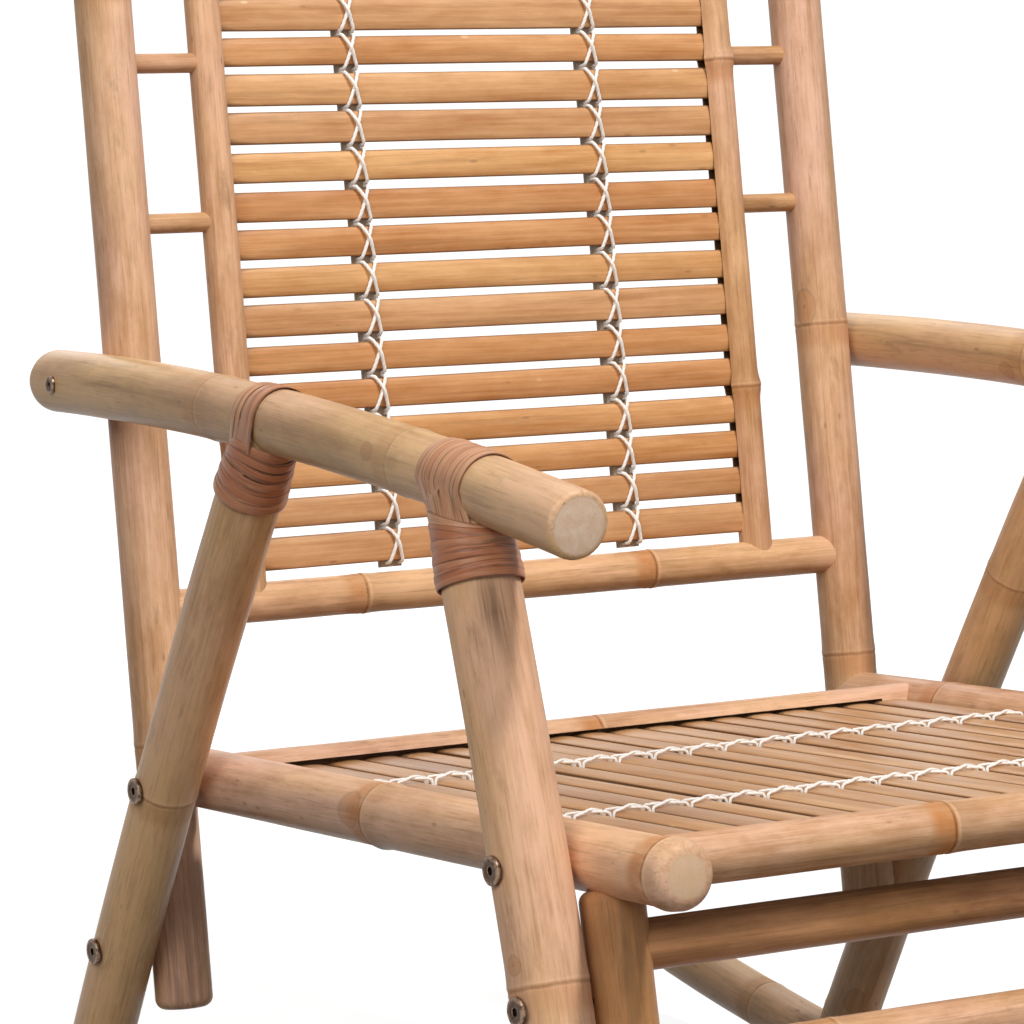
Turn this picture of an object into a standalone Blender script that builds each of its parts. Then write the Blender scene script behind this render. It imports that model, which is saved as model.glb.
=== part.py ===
"""Bamboo rocking chair. Metres, +Z up. It faces -Y and stands on Z = 0 on the middle of its rockers."""

import math

import bmesh
import bpy
import numpy as np
from mathutils import Matrix, Vector
from mathutils.geometry import intersect_line_line_2d

# Clearances
GAP = 0.0003  # between pieces that touch
SLAT_END_GAP = 0.001  # between a slat's end and the bottom of its slot
OVERRUN = 0.004  # how far a cutter runs out of the piece that it cuts

# Back frame, measured from the axis of its lower rail
FRAME_HALF_WIDTH = 0.270  # from the middle of the chair to the axes of posts and seat side rails
BACK_RAIL_Y = 0.247  # sets the weight of the chair over the middle of the rockers
BACK_RAIL_Z = 0.4055
RECLINE = math.radians(9.2)
POST_DIAMETER = 0.037
POST_BELOW_RAIL = 0.255
POST_ABOVE_RAIL = 0.038
BACK_RAIL_DIAMETER = 0.026
UPRIGHT_DIAMETER = 0.024
PEG_DIAMETER = 0.013
PEG_SPAN = 0.041  # bare length of a peg between post and upright
PEG_SPACING = 0.104
PEG_RAISE = 0.005  # middle of the pegs above the middle of the back

# Slats of the back, laid across, and their lacing
BACK_SLAT_COUNT = 22
BACK_SLAT_WIDTH = 0.0205
BACK_SLAT_GAP = 0.0048
BACK_SLAT_MARGIN = 0.007  # between a rail and the slat next to it
SLAT_THICKNESS = 0.006
SLAT_EDGE = 0.0018  # chamfer along the outer edges of a slat
SLOT_DEPTH = 0.010
BATTEN_WIDTH = 0.016
BATTEN_THICKNESS = 0.007
BATTEN_BITE = 0.0005  # how far slats and battens are let into each other
BACK_LACING_X = 0.094
LACE_DIAMETER = 0.0018
LACE_CLEARANCE = 0.0004  # between the lace and itself or the slats that it crosses

# Seat frame, measured forward from the lower back rail along its own slope
SEAT_RAIL_DIAMETER = 0.0375
SEAT_RAIL_Z = 0.3033  # height of the side rails' axes below the lower back rail
SEAT_TILT = math.radians(3.9)
SEAT_RAIL_FRONT = 0.626
FRONT_RAIL_AHEAD = 0.576
FRONT_RAIL_DIAMETER = 0.029
REAR_RAIL_AHEAD = 0.093
REAR_RAIL_DIAMETER = 0.026
REAR_RAIL_RISE = 0.004  # its axis above the side rails' axes
SEAT_SLAT_COUNT = 19
SEAT_SLAT_GAP = 0.0048
SEAT_SLAT_RISE = 0.008  # top of the slats above the side rails' axes
SEAT_LACING_AHEAD = (0.233, 0.435)

# Armrests and legs, measured forward from the lower back rail
ARM_DIAMETER = 0.038
ARM_CROWN_AHEAD = 0.105
ARM_CROWN_Z = 0.5545
ARM_FALL = 0.0265  # of the front end below the crown
ARM_BEHIND = 0.060
ARM_AHEAD = 0.577
REAR_LEG_DIAMETER = 0.040
REAR_LEG_TOP_AHEAD = 0.239
REAR_LEG_FOOT_BEHIND = 0.050
REAR_LEG_BOW = 0.009  # to the rear
FRONT_LEG_DIAMETER = 0.044
FRONT_LEG_TOP_AHEAD = 0.463
FRONT_LEG_FOOT_AHEAD = 0.619
FRONT_LEG_BOW = 0.009  # to the front

# Rockers
ROCKER_DIAMETER = 0.037
ROCKER_RISE = 0.0443  # of the ends above the middle
ROCKER_LENGTH = 1.040
ROCKER_SEGMENTS = 17  # odd, so that the middle one lies level
DOWEL_DIAMETER = 0.010
DOWEL_BITE = 0.014  # depth of a foot dowel in the rocker and in the leg

# Front frame, measured down its poles from the axes of the seat side rails
FRONT_POLE_AHEAD = 0.548
FRONT_LEAN = math.radians(12.5)
FRONT_POLE_DIAMETER = 0.036
FRONT_POLE_LENGTH = 0.300
FRONT_BAR_DIAMETER = 0.0285
FRONT_BAR_COUNT = 4
FRONT_BAR_FIRST = 0.047
FRONT_BAR_PITCH = 0.068
FRONT_BOLTS = {"upper": 0.074, "lower": 0.216}

# Bolts, all along X
BOLT_HEAD_DIAMETER = 0.0165
SCREW_HEAD_DIAMETER = 0.0110
BOLT_HEAD_HEIGHT = 0.0028
BOLT_SHANK_DIAMETER = 0.006
BOLT_SOCKET_DIAMETER = 0.005
BOLT_SOCKET_DEPTH = 0.0016
BOLT_BITE = 0.022  # depth of a shank in the inner pole

# Rattan lashings at the tops of the legs
STRIP_DIAMETER = 0.0036
STRIP_PITCH = 0.0042
STRIP_PASSES = 6  # over the armrest
STRIP_TURNS = 6  # round the leg
STRIP_DROP = 0.008  # from the underside of the armrest to the turns round the leg
STRIP_POINTS = 10  # in one turn

# Facets
POLE_RESOLUTION = 3  # ten sides
POLE_SIDES = 4 + 2 * POLE_RESOLUTION
STRIP_RESOLUTION = 0  # four sides
BOLT_SIDES = 8
LEG_SEGMENTS = 5
ARM_SEGMENTS = 10
DRESSED_END = 0.004  # length and depth of the rounding at a free end
SADDLE = 0.45  # how near a coped end comes to the other pole's axis, in radii of that pole
SMALL_SADDLE = 0.25  # the same for a pole that is thinner than the other
SIDES = {"left": 1, "right": -1}

X_AXIS = Vector((1, 0, 0))

for old in list(bpy.data.objects):
    bpy.data.objects.remove(old, do_unlink=True)
chair = bpy.data.collections.new("bamboo_rocking_chair")
cutters = bpy.data.collections.new("cutters")
for collection in (chair, cutters):
    bpy.context.scene.collection.children.link(collection)
chair_root = bpy.data.objects.new("chair_root", None)
chair.objects.link(chair_root)


def material(name, colour, roughness, metallic=0.0):
    made = bpy.data.materials.new(name)
    made.use_nodes = True
    shader = made.node_tree.nodes["Principled BSDF"]
    shader.inputs["Base Color"].default_value = (*colour, 1)
    shader.inputs["Roughness"].default_value = roughness
    shader.inputs["Metallic"].default_value = metallic
    return made


POLE = material("bamboo pole", (0.60, 0.41, 0.25), 0.42)
SMOKED = material("smoked bamboo pole", (0.48, 0.33, 0.20), 0.42)
SLAT = material("varnished bamboo slat", (0.62, 0.34, 0.14), 0.38)
RATTAN = material("rattan strip", (0.34, 0.16, 0.09), 0.40)
LACE = material("cotton lace", (0.84, 0.79, 0.70), 0.85)
STEEL = material("bronzed steel", (0.36, 0.30, 0.24), 0.35, 0.9)
HARDWOOD = material("hardwood dowel", (0.66, 0.50, 0.32), 0.6)


def add_part(name, mesh, finish):
    """A finished piece in the chair's collection, shaded smooth with its edges kept."""
    part = bpy.data.objects.new(name, mesh)
    mesh.materials.append(finish)
    mesh.shade_smooth()
    mesh.set_sharp_from_angle(angle=math.radians(40))
    part.parent = chair_root
    chair.objects.link(part)
    return part


def add_cutter(name, mesh):
    cutter = bpy.data.objects.new(name, mesh)
    cutter.hide_render = True
    cutter.display_type = "WIRE"
    cutters.objects.link(cutter)
    return cutter


def combine(part, operation, *tools):
    for tool in tools:
        boolean = part.modifiers.new(f"{operation.lower()} {tool.name}", "BOOLEAN")
        boolean.operation = operation
        boolean.solver = "EXACT"
        boolean.object = tool


def tube_mesh(name, points, radii, resolution=POLE_RESOLUTION, twist="Z_UP"):
    """A closed tube through the points, as a mesh whose caps are welded on."""
    curve = bpy.data.curves.new(name, "CURVE")
    curve.dimensions = "3D"
    curve.twist_mode = twist
    curve.bevel_depth = 1.0
    curve.bevel_resolution = resolution
    curve.use_fill_caps = True
    spline = curve.splines.new("POLY")
    spline.points.add(len(points) - 1)
    for target, point, radius in zip(spline.points, points, radii):
        target.co = (*point, 1)
        target.radius = radius
    guide = bpy.data.objects.new(name, curve)
    cutters.objects.link(guide)
    evaluated = guide.evaluated_get(bpy.context.evaluated_depsgraph_get())
    mesh = bpy.data.meshes.new_from_object(evaluated)
    bpy.data.objects.remove(guide)
    bpy.data.curves.remove(curve)
    mesh.name = name
    bm = bmesh.new()
    bm.from_mesh(mesh)
    bmesh.ops.remove_doubles(bm, verts=bm.verts, dist=1e-6)
    bmesh.ops.recalc_face_normals(bm, faces=bm.faces)
    bm.to_mesh(mesh)
    bm.free()
    return mesh


def pole(name, points, diameter, finish, dressed=()):
    """A bamboo pole. dressed names its free ends, which are rounded over."""
    radius = diameter / 2
    path = list(points)
    radii = [radius] * len(path)
    if "start" in dressed:
        inward = (path[1] - path[0]).normalized() * DRESSED_END
        path.insert(1, path[0] + inward)
        radii.insert(0, radius - DRESSED_END)
    if "end" in dressed:
        inward = (path[-2] - path[-1]).normalized() * DRESSED_END
        path.insert(len(path) - 1, path[-1] + inward)
        radii.append(radius - DRESSED_END)
    return add_part(name, tube_mesh(name, path, radii), finish)


def pole_cutter(name, points, diameter):
    """The shape of a pole with the gap that its neighbours keep from every facet."""
    radius = diameter / 2 + GAP / math.cos(math.pi / POLE_SIDES)
    return add_cutter(name, tube_mesh(name, points, [radius] * len(points)))


def box_mesh(name, length, width, height, place):
    mesh = bpy.data.meshes.new(name)
    bm = bmesh.new()
    bmesh.ops.create_cube(bm, size=1.0, matrix=place @ Matrix.Diagonal((length, width, height, 1)))
    bmesh.ops.recalc_face_normals(bm, faces=bm.faces)
    bm.to_mesh(mesh)
    bm.free()
    return mesh


def rod_mesh(name, start, end, diameter, sides=BOLT_SIDES):
    mesh = bpy.data.meshes.new(name)
    along = end - start
    place = Matrix.Translation((start + end) / 2) @ along.to_track_quat("Z", "Y").to_matrix().to_4x4()
    bm = bmesh.new()
    bmesh.ops.create_cone(
        bm, cap_ends=True, segments=sides, radius1=diameter / 2, radius2=diameter / 2,
        depth=along.length, matrix=place)
    bm.to_mesh(mesh)
    bm.free()
    return mesh


def axes_to_matrix(origin, along, across, out):
    """A placement whose X, Y and Z run along, across and out."""
    place = Matrix.Identity(4)
    for column, vector in enumerate((along, across, out, origin)):
        place.col[column].xyz = vector
    return place


# Directions of the three frames, and points on them
BACK_UP = Vector((0, math.sin(RECLINE), math.cos(RECLINE)))
BACK_OUT = Vector((0, -math.cos(RECLINE), math.sin(RECLINE)))
SEAT_FORWARD = Vector((0, -math.cos(SEAT_TILT), math.sin(SEAT_TILT)))
SEAT_UP = Vector((0, math.sin(SEAT_TILT), math.cos(SEAT_TILT)))
FRONT_DOWN = Vector((0, -math.sin(FRONT_LEAN), -math.cos(FRONT_LEAN)))


def back_point(x, up, out=0.0):
    return Vector((x, BACK_RAIL_Y, BACK_RAIL_Z)) + BACK_UP * up + BACK_OUT * out


def seat_point(x, ahead, above=0.0):
    return Vector((x, BACK_RAIL_Y, SEAT_RAIL_Z)) + SEAT_FORWARD * ahead + SEAT_UP * above


def front_point(x, down):
    return seat_point(x, FRONT_POLE_AHEAD) + FRONT_DOWN * down


ARM_BEND_RADIUS = (ARM_AHEAD - ARM_CROWN_AHEAD) ** 2 / (2 * ARM_FALL)


def arm_z(y):
    crown = BACK_RAIL_Y - ARM_CROWN_AHEAD
    return ARM_CROWN_Z - ARM_BEND_RADIUS + math.sqrt(ARM_BEND_RADIUS**2 - (y - crown) ** 2)


ROCKER_RADIUS = (ROCKER_LENGTH / 2) ** 2 / (2 * ROCKER_RISE)
ROCKER_FLAT = ROCKER_DIAMETER / 2 * math.cos(math.pi / POLE_SIDES)  # from the axis down to the facet below it
ROCKER_STEP = ROCKER_LENGTH / ROCKER_SEGMENTS / ROCKER_RADIUS
ROCKER_LIFT = ROCKER_FLAT + ROCKER_RADIUS * math.cos(ROCKER_STEP / 2)  # height of the arc's centre


def rocker_z(y):
    return ROCKER_LIFT - math.sqrt(ROCKER_RADIUS**2 - y**2)


def side_crossing(first, second):
    """(y, z) where two axes cross, seen from the side."""
    for a, b in zip(first, first[1:]):
        for c, d in zip(second, second[1:]):
            hit = intersect_line_line_2d(a.yz, b.yz, c.yz, d.yz)
            if hit:
                return hit
    a, b, c, d = first[0].yz, first[-1].yz, second[0].yz, second[-1].yz
    share = (c - a).cross(d - c) / (b - a).cross(d - c)
    return a + (b - a) * share


def leg_axis(x, top_y, foot_y, bow):
    """The axis of a leg from the armrest's axis to the rocker's, bowed along Y."""
    top = Vector((x, top_y, arm_z(top_y)))
    foot = Vector((x, foot_y, rocker_z(foot_y)))
    shares = [step / LEG_SEGMENTS for step in range(LEG_SEGMENTS + 1)]
    return [top.lerp(foot, share) + Vector((0, 4 * bow * share * (1 - share), 0)) for share in shares]


def at_height(path, height):
    """The point of a falling axis at a height."""
    for a, b in zip(path, path[1:]):
        if a.z >= height >= b.z:
            return a.lerp(b, (a.z - height) / (a.z - b.z))
    return path[-1]


def shortened(path, start, end):
    """A path with these lengths taken off its ends."""
    first = path[0] + (path[1] - path[0]).normalized() * start
    last = path[-1] + (path[-2] - path[-1]).normalized() * end
    return [first, *path[1:-1], last]


# Half breadths of the outer planes: each outer pole touches the inner poles beside it
ARM_X = FRAME_HALF_WIDTH + POST_DIAMETER / 2 + GAP + ARM_DIAMETER / 2
INNER_RADIUS = max(SEAT_RAIL_DIAMETER, POST_DIAMETER) / 2
REAR_LEG_X = FRAME_HALF_WIDTH + INNER_RADIUS + GAP + REAR_LEG_DIAMETER / 2
FRONT_INNER_RADIUS = max(SEAT_RAIL_DIAMETER, FRONT_POLE_DIAMETER) / 2
FRONT_LEG_X = FRAME_HALF_WIDTH + FRONT_INNER_RADIUS + GAP + FRONT_LEG_DIAMETER / 2
ROCKER_X = (REAR_LEG_X + FRONT_LEG_X) / 2

# Back panel
BACK_PITCH = BACK_SLAT_WIDTH + BACK_SLAT_GAP
BACK_FIRST_GAP = BACK_RAIL_DIAMETER / 2 + BACK_SLAT_MARGIN - BACK_SLAT_GAP / 2
BACK_HEIGHT = 2 * BACK_FIRST_GAP + BACK_SLAT_COUNT * BACK_PITCH
UPRIGHT_X = FRAME_HALF_WIDTH - POST_DIAMETER / 2 - PEG_SPAN - UPRIGHT_DIAMETER / 2
BACK_SLAT_END = UPRIGHT_X - UPRIGHT_DIAMETER / 2 + SLOT_DEPTH - SLAT_END_GAP

# Seat
SEAT_INNER_WIDTH = 2 * FRAME_HALF_WIDTH - SEAT_RAIL_DIAMETER
SEAT_PITCH = SEAT_INNER_WIDTH / SEAT_SLAT_COUNT
SEAT_SLAT_WIDTH = SEAT_PITCH - SEAT_SLAT_GAP
SEAT_SLAT_MIDDLE = SEAT_SLAT_RISE - SLAT_THICKNESS / 2
SEAT_SLAT_FRONT = FRONT_RAIL_AHEAD - FRONT_RAIL_DIAMETER / 2 + SLOT_DEPTH - SLAT_END_GAP
SEAT_SLAT_REAR = REAR_RAIL_AHEAD + REAR_RAIL_DIAMETER / 2 - SLOT_DEPTH + SLAT_END_GAP

# Axes of the poles in each side
axes = {}
for side, sign in SIDES.items():
    inner_x, arm_x = sign * FRAME_HALF_WIDTH, sign * ARM_X
    axes["post", side] = [
        back_point(inner_x, -POST_BELOW_RAIL), back_point(inner_x, BACK_HEIGHT + POST_ABOVE_RAIL)]
    arm_rear, arm_front = BACK_RAIL_Y + ARM_BEHIND, BACK_RAIL_Y - ARM_AHEAD
    arm_ys = [arm_rear + (arm_front - arm_rear) * step / ARM_SEGMENTS for step in range(ARM_SEGMENTS + 1)]
    axes["arm", side] = [Vector((arm_x, y, arm_z(y))) for y in arm_ys]
    turns = [(step - ROCKER_SEGMENTS / 2) * ROCKER_STEP for step in range(ROCKER_SEGMENTS + 1)]
    axes["rocker", side] = [
        Vector((sign * ROCKER_X, ROCKER_RADIUS * math.sin(turn), ROCKER_LIFT - ROCKER_RADIUS * math.cos(turn)))
        for turn in turns]
    rear_top, rear_foot = BACK_RAIL_Y - REAR_LEG_TOP_AHEAD, BACK_RAIL_Y + REAR_LEG_FOOT_BEHIND
    axes["rear_leg", side] = leg_axis(sign * REAR_LEG_X, rear_top, rear_foot, REAR_LEG_BOW)
    front_top, front_foot = BACK_RAIL_Y - FRONT_LEG_TOP_AHEAD, BACK_RAIL_Y - FRONT_LEG_FOOT_AHEAD
    axes["front_leg", side] = leg_axis(sign * FRONT_LEG_X, front_top, front_foot, -FRONT_LEG_BOW)
    rail_line = [seat_point(inner_x, 0), seat_point(inner_x, SEAT_RAIL_FRONT)]
    rail_y, rail_z = side_crossing(rail_line, axes["post", side])
    axes["seat_rail", side] = [Vector((inner_x, rail_y, rail_z)), rail_line[1]]
    axes["front_pole", side] = [front_point(inner_x, 0), front_point(inner_x, FRONT_POLE_LENGTH)]

DIAMETERS = {
    "post": POST_DIAMETER, "arm": ARM_DIAMETER, "rocker": ROCKER_DIAMETER, "rear_leg": REAR_LEG_DIAMETER,
    "front_leg": FRONT_LEG_DIAMETER, "seat_rail": SEAT_RAIL_DIAMETER, "front_pole": FRONT_POLE_DIAMETER}

coping = {}
for (kind, side), path in axes.items():
    if kind in ("post", "arm", "rocker", "seat_rail", "front_pole"):
        longer = shortened(path, -POST_DIAMETER, -POST_DIAMETER)
        coping[kind, side] = pole_cutter(f"{kind} {side} cope", longer, DIAMETERS[kind])


def side_poles(side):
    """The poles of one side, coped where they meet end to side."""
    made = {}
    arm_cut, post_cut = SADDLE * ARM_DIAMETER / 2, SADDLE * POST_DIAMETER / 2
    rocker_cut = SADDLE * ROCKER_DIAMETER / 2
    under_rail = SEAT_RAIL_DIAMETER / 2 * math.cos(math.pi / POLE_SIDES)
    both = ("start", "end")
    made["rocker"] = pole(f"rocker_{side}", axes["rocker", side], ROCKER_DIAMETER, POLE, both)
    made["arm"] = pole(f"armrest_{side}", axes["arm", side], ARM_DIAMETER, SMOKED, both)
    made["post"] = pole(f"back_post_{side}", axes["post", side], POST_DIAMETER, POLE, both)
    for kind, finish in (("rear_leg", SMOKED), ("front_leg", POLE)):
        path = shortened(axes[kind, side], arm_cut, rocker_cut)
        made[kind] = pole(f"{kind}_{side}", path, DIAMETERS[kind], finish)
        combine(made[kind], "DIFFERENCE", coping["arm", side], coping["rocker", side])
    made["seat_rail"] = pole(
        f"seat_side_rail_{side}", shortened(axes["seat_rail", side], post_cut, 0), SEAT_RAIL_DIAMETER,
        POLE, ("end",))
    combine(made["seat_rail"], "DIFFERENCE", coping["post", side])
    made["front_pole"] = pole(
        f"front_pole_{side}", shortened(axes["front_pole", side], under_rail, 0), FRONT_POLE_DIAMETER,
        POLE, ("end",))
    combine(made["front_pole"], "DIFFERENCE", coping["seat_rail", side])
    return made


poles = {side: side_poles(side) for side in SIDES}


def cross_pole(name, middle, kind, kind_diameter, diameter, finish=POLE):
    """A pole across the chair, coped between the left and the right pole of a kind."""
    reach = FRAME_HALF_WIDTH - SMALL_SADDLE * kind_diameter / 2
    made = pole(name, [middle - X_AXIS * reach, middle + X_AXIS * reach], diameter, finish)
    combine(made, "DIFFERENCE", *(coping[kind, side] for side in SIDES))
    return made


def slot_cutter(name, middle, along, inward, out, length):
    """A groove for slat ends: it opens inward and is SLOT_DEPTH deep from the pole's inner side."""
    mouth = SLOT_DEPTH + OVERRUN
    origin = middle + inward * (OVERRUN - SLOT_DEPTH) / 2
    height = SLAT_THICKNESS + 2 * GAP
    return add_cutter(name, box_mesh(name, length, mouth, height, axes_to_matrix(origin, along, inward, out)))


def slat_mesh(length, width):
    """One slat along X, with its outer edges chamfered and its outer face up."""
    mesh = box_mesh("slat", length, width, SLAT_THICKNESS, Matrix.Identity(4))
    bm = bmesh.new()
    bm.from_mesh(mesh)
    bpy.data.meshes.remove(mesh)
    edges = [
        edge for edge in bm.edges
        if min(vert.co.z for vert in edge.verts) > 0 and edge.verts[0].co.y == edge.verts[1].co.y]
    bmesh.ops.bevel(
        bm, geom=edges, offset=SLAT_EDGE, offset_type="OFFSET", segments=1, profile=0.5,
        affect="EDGES", material=-1)
    made = bpy.data.meshes.new("slat")
    bm.to_mesh(made)
    bm.free()
    return made


def slat_mat(name, length, width, places, battens):
    """Slats side by side, let into the battens that carry them."""
    one = slat_mesh(length, width)
    bm = bmesh.new()
    for place in places:
        start = len(bm.verts)
        bm.from_mesh(one)
        bm.verts.ensure_lookup_table()
        bmesh.ops.transform(bm, matrix=place, verts=bm.verts[start:])
    mesh = bpy.data.meshes.new(name)
    bm.to_mesh(mesh)
    bm.free()
    bpy.data.meshes.remove(one)
    mat = add_part(name, mesh, SLAT)
    combine(mat, "UNION", *battens)
    return mat


def least_gap(points, radius):
    """The least clear distance between stretches of one tube that aren't next to each other."""
    dense = []
    for a, b in zip(points, points[1:]):
        count = max(1, math.ceil((b - a).length / radius))
        dense += [a.lerp(b, step / count) for step in range(count)]
    spots = np.array([*dense, points[-1]])
    run = np.concatenate([[0], np.cumsum(np.linalg.norm(np.diff(spots, axis=0), axis=1))])
    apart = np.linalg.norm(spots[:, None] - spots[None], axis=2)
    apart[np.abs(run[:, None] - run[None]) < 6 * radius] = np.inf
    return apart.min() - 2 * radius


def wound(name, points, diameter, finish):
    """A tube that is laid round other pieces, with its clear distance to itself printed."""
    radius = diameter / 2
    print(f"{name}: least gap to itself {1000 * least_gap(points, radius):.2f} mm")
    mesh = tube_mesh(name, points, [radius] * len(points), STRIP_RESOLUTION, "MINIMUM")
    return add_part(name, mesh, finish)


def lacing(name, place, first_gap, pitch, count):
    """One lace that goes along a batten and back, crossing itself over every slat and behind every gap.

    place gives the point so far along from slat to slat, across the batten and out from the slats' middle.
    """
    radius = LACE_DIAMETER / 2
    beside = BATTEN_WIDTH / 2 + radius + LACE_CLEARANCE
    apart = radius + LACE_CLEARANCE
    top = SLAT_THICKNESS / 2 + radius + LACE_CLEARANCE
    bottom = -(SLAT_THICKNESS / 2 - BATTEN_BITE + BATTEN_THICKNESS + radius + LACE_CLEARANCE)
    layer = LACE_DIAMETER + 2 * LACE_CLEARANCE
    gaps = [first_gap + pitch * step for step in range(count + 1)]
    route = [place(gaps[0] + apart, -beside, bottom)]
    for near, far in zip(gaps, gaps[1:]):
        route += [place(near + apart, -beside, top), place(far - apart, beside, top)]
        if far != gaps[-1]:
            route += [place(far - apart, beside, bottom), place(far + apart, -beside, bottom)]
    last = gaps[-1] - apart
    route += [place(last, beside, bottom), place(last, -beside, bottom)]
    for near, far in zip(gaps[::-1], gaps[-2::-1]):
        route += [place(near - apart, -beside, top + layer), place(far + apart, beside, top + layer)]
        if far != gaps[0]:
            route += [place(far + apart, beside, bottom - layer), place(far - apart, -beside, bottom - layer)]
    route.append(place(gaps[0] + apart, beside, bottom))
    return wound(name, route, LACE_DIAMETER, LACE)


def build_back():
    lower = cross_pole("back_lower_rail", back_point(0, 0), "post", POST_DIAMETER, BACK_RAIL_DIAMETER)
    upper = cross_pole("back_top_rail", back_point(0, BACK_HEIGHT), "post", POST_DIAMETER, BACK_RAIL_DIAMETER)
    rail_cutters = [
        pole_cutter(f"{rail.name} cope", [back_point(-FRAME_HALF_WIDTH, up), back_point(FRAME_HALF_WIDTH, up)],
                    BACK_RAIL_DIAMETER)
        for rail, up in ((lower, 0), (upper, BACK_HEIGHT))]
    inset = SMALL_SADDLE * BACK_RAIL_DIAMETER / 2
    field = BACK_SLAT_COUNT * BACK_PITCH - BACK_SLAT_GAP + 2 * GAP
    for side, sign in SIDES.items():
        x = sign * UPRIGHT_X
        path = [back_point(x, inset), back_point(x, BACK_HEIGHT - inset)]
        upright = pole(f"back_upright_{side}", path, UPRIGHT_DIAMETER, POLE)
        inner_side = back_point(sign * (UPRIGHT_X - UPRIGHT_DIAMETER / 2), BACK_HEIGHT / 2)
        slot = slot_cutter(f"upright slot {side}", inner_side, BACK_UP, -sign * X_AXIS, BACK_OUT, field)
        combine(upright, "DIFFERENCE", *rail_cutters, slot)
        upright_cutter = pole_cutter(f"upright {side} cope", path, UPRIGHT_DIAMETER)
        for place, shift in (("lower", -0.5), ("upper", 0.5)):
            up = BACK_HEIGHT / 2 + PEG_RAISE + shift * PEG_SPACING
            ends = [back_point(x, up), back_point(sign * FRAME_HALF_WIDTH, up)]
            peg = pole(f"back_peg_{place}_{side}", ends, PEG_DIAMETER, POLE)
            combine(peg, "DIFFERENCE", coping["post", side], upright_cutter)
    places = [
        axes_to_matrix(back_point(0, BACK_FIRST_GAP + BACK_PITCH * (step + 0.5)), X_AXIS, BACK_UP, BACK_OUT)
        for step in range(BACK_SLAT_COUNT)]
    behind = SLAT_THICKNESS / 2 + BATTEN_THICKNESS / 2 - BATTEN_BITE
    battens = []
    for sign in SIDES.values():
        middle = back_point(sign * BACK_LACING_X, BACK_HEIGHT / 2, -behind)
        place = axes_to_matrix(middle, BACK_UP, X_AXIS, -BACK_OUT)
        mesh = box_mesh("back batten", BACK_HEIGHT - 2 * inset, BATTEN_WIDTH, BATTEN_THICKNESS, place)
        battens.append(add_cutter("back batten", mesh))
    mat = slat_mat("back_slats", 2 * BACK_SLAT_END, BACK_SLAT_WIDTH, places, battens)
    combine(mat, "DIFFERENCE", *rail_cutters)
    for side, sign in SIDES.items():
        lacing(f"back_lacing_{side}",
               lambda along, across, out, x=sign * BACK_LACING_X: back_point(x + across, along, out),
               BACK_FIRST_GAP, BACK_PITCH, BACK_SLAT_COUNT)


def build_seat():
    field = SEAT_INNER_WIDTH - SEAT_SLAT_GAP + 2 * GAP
    rails = (
        ("front", FRONT_RAIL_AHEAD, 0, FRONT_RAIL_DIAMETER, -1),
        ("rear", REAR_RAIL_AHEAD, REAR_RAIL_RISE, REAR_RAIL_DIAMETER, 1))
    for name, ahead, rise, diameter, facing in rails:
        rail = cross_pole(
            f"seat_{name}_rail", seat_point(0, ahead, rise), "seat_rail", SEAT_RAIL_DIAMETER, diameter)
        inner_side = seat_point(0, ahead + facing * diameter / 2, SEAT_SLAT_MIDDLE)
        slot = slot_cutter(f"{name} rail slot", inner_side, X_AXIS, facing * SEAT_FORWARD, SEAT_UP, field)
        combine(rail, "DIFFERENCE", slot)
    length = SEAT_SLAT_FRONT - SEAT_SLAT_REAR
    first = -SEAT_INNER_WIDTH / 2
    middles = [
        seat_point(first + SEAT_PITCH * (step + 0.5), SEAT_SLAT_REAR + length / 2, SEAT_SLAT_MIDDLE)
        for step in range(SEAT_SLAT_COUNT)]
    places = [axes_to_matrix(middle, SEAT_FORWARD, -X_AXIS, SEAT_UP) for middle in middles]
    below = SEAT_SLAT_MIDDLE - SLAT_THICKNESS / 2 - BATTEN_THICKNESS / 2 + BATTEN_BITE
    battens = []
    for ahead in SEAT_LACING_AHEAD:
        place = axes_to_matrix(seat_point(0, ahead, below), X_AXIS, -SEAT_FORWARD, SEAT_UP)
        mesh = box_mesh("seat batten", 2 * FRAME_HALF_WIDTH, BATTEN_WIDTH, BATTEN_THICKNESS, place)
        battens.append(add_cutter("seat batten", mesh))
    mat = slat_mat("seat_slats", length, SEAT_SLAT_WIDTH, places, battens)
    combine(mat, "DIFFERENCE", *(coping["seat_rail", side] for side in SIDES))
    for name, ahead in zip(("rear", "front"), SEAT_LACING_AHEAD):
        lacing(f"seat_lacing_{name}",
               lambda along, across, out, a=ahead: seat_point(along, a + across, SEAT_SLAT_MIDDLE + out),
               first, SEAT_PITCH, SEAT_SLAT_COUNT)


def build_front():
    for step in range(FRONT_BAR_COUNT):
        middle = front_point(0, FRONT_BAR_FIRST + step * FRONT_BAR_PITCH)
        cross_pole(f"front_bar_{step + 1}", middle, "front_pole", FRONT_POLE_DIAMETER, FRONT_BAR_DIAMETER)


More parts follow.
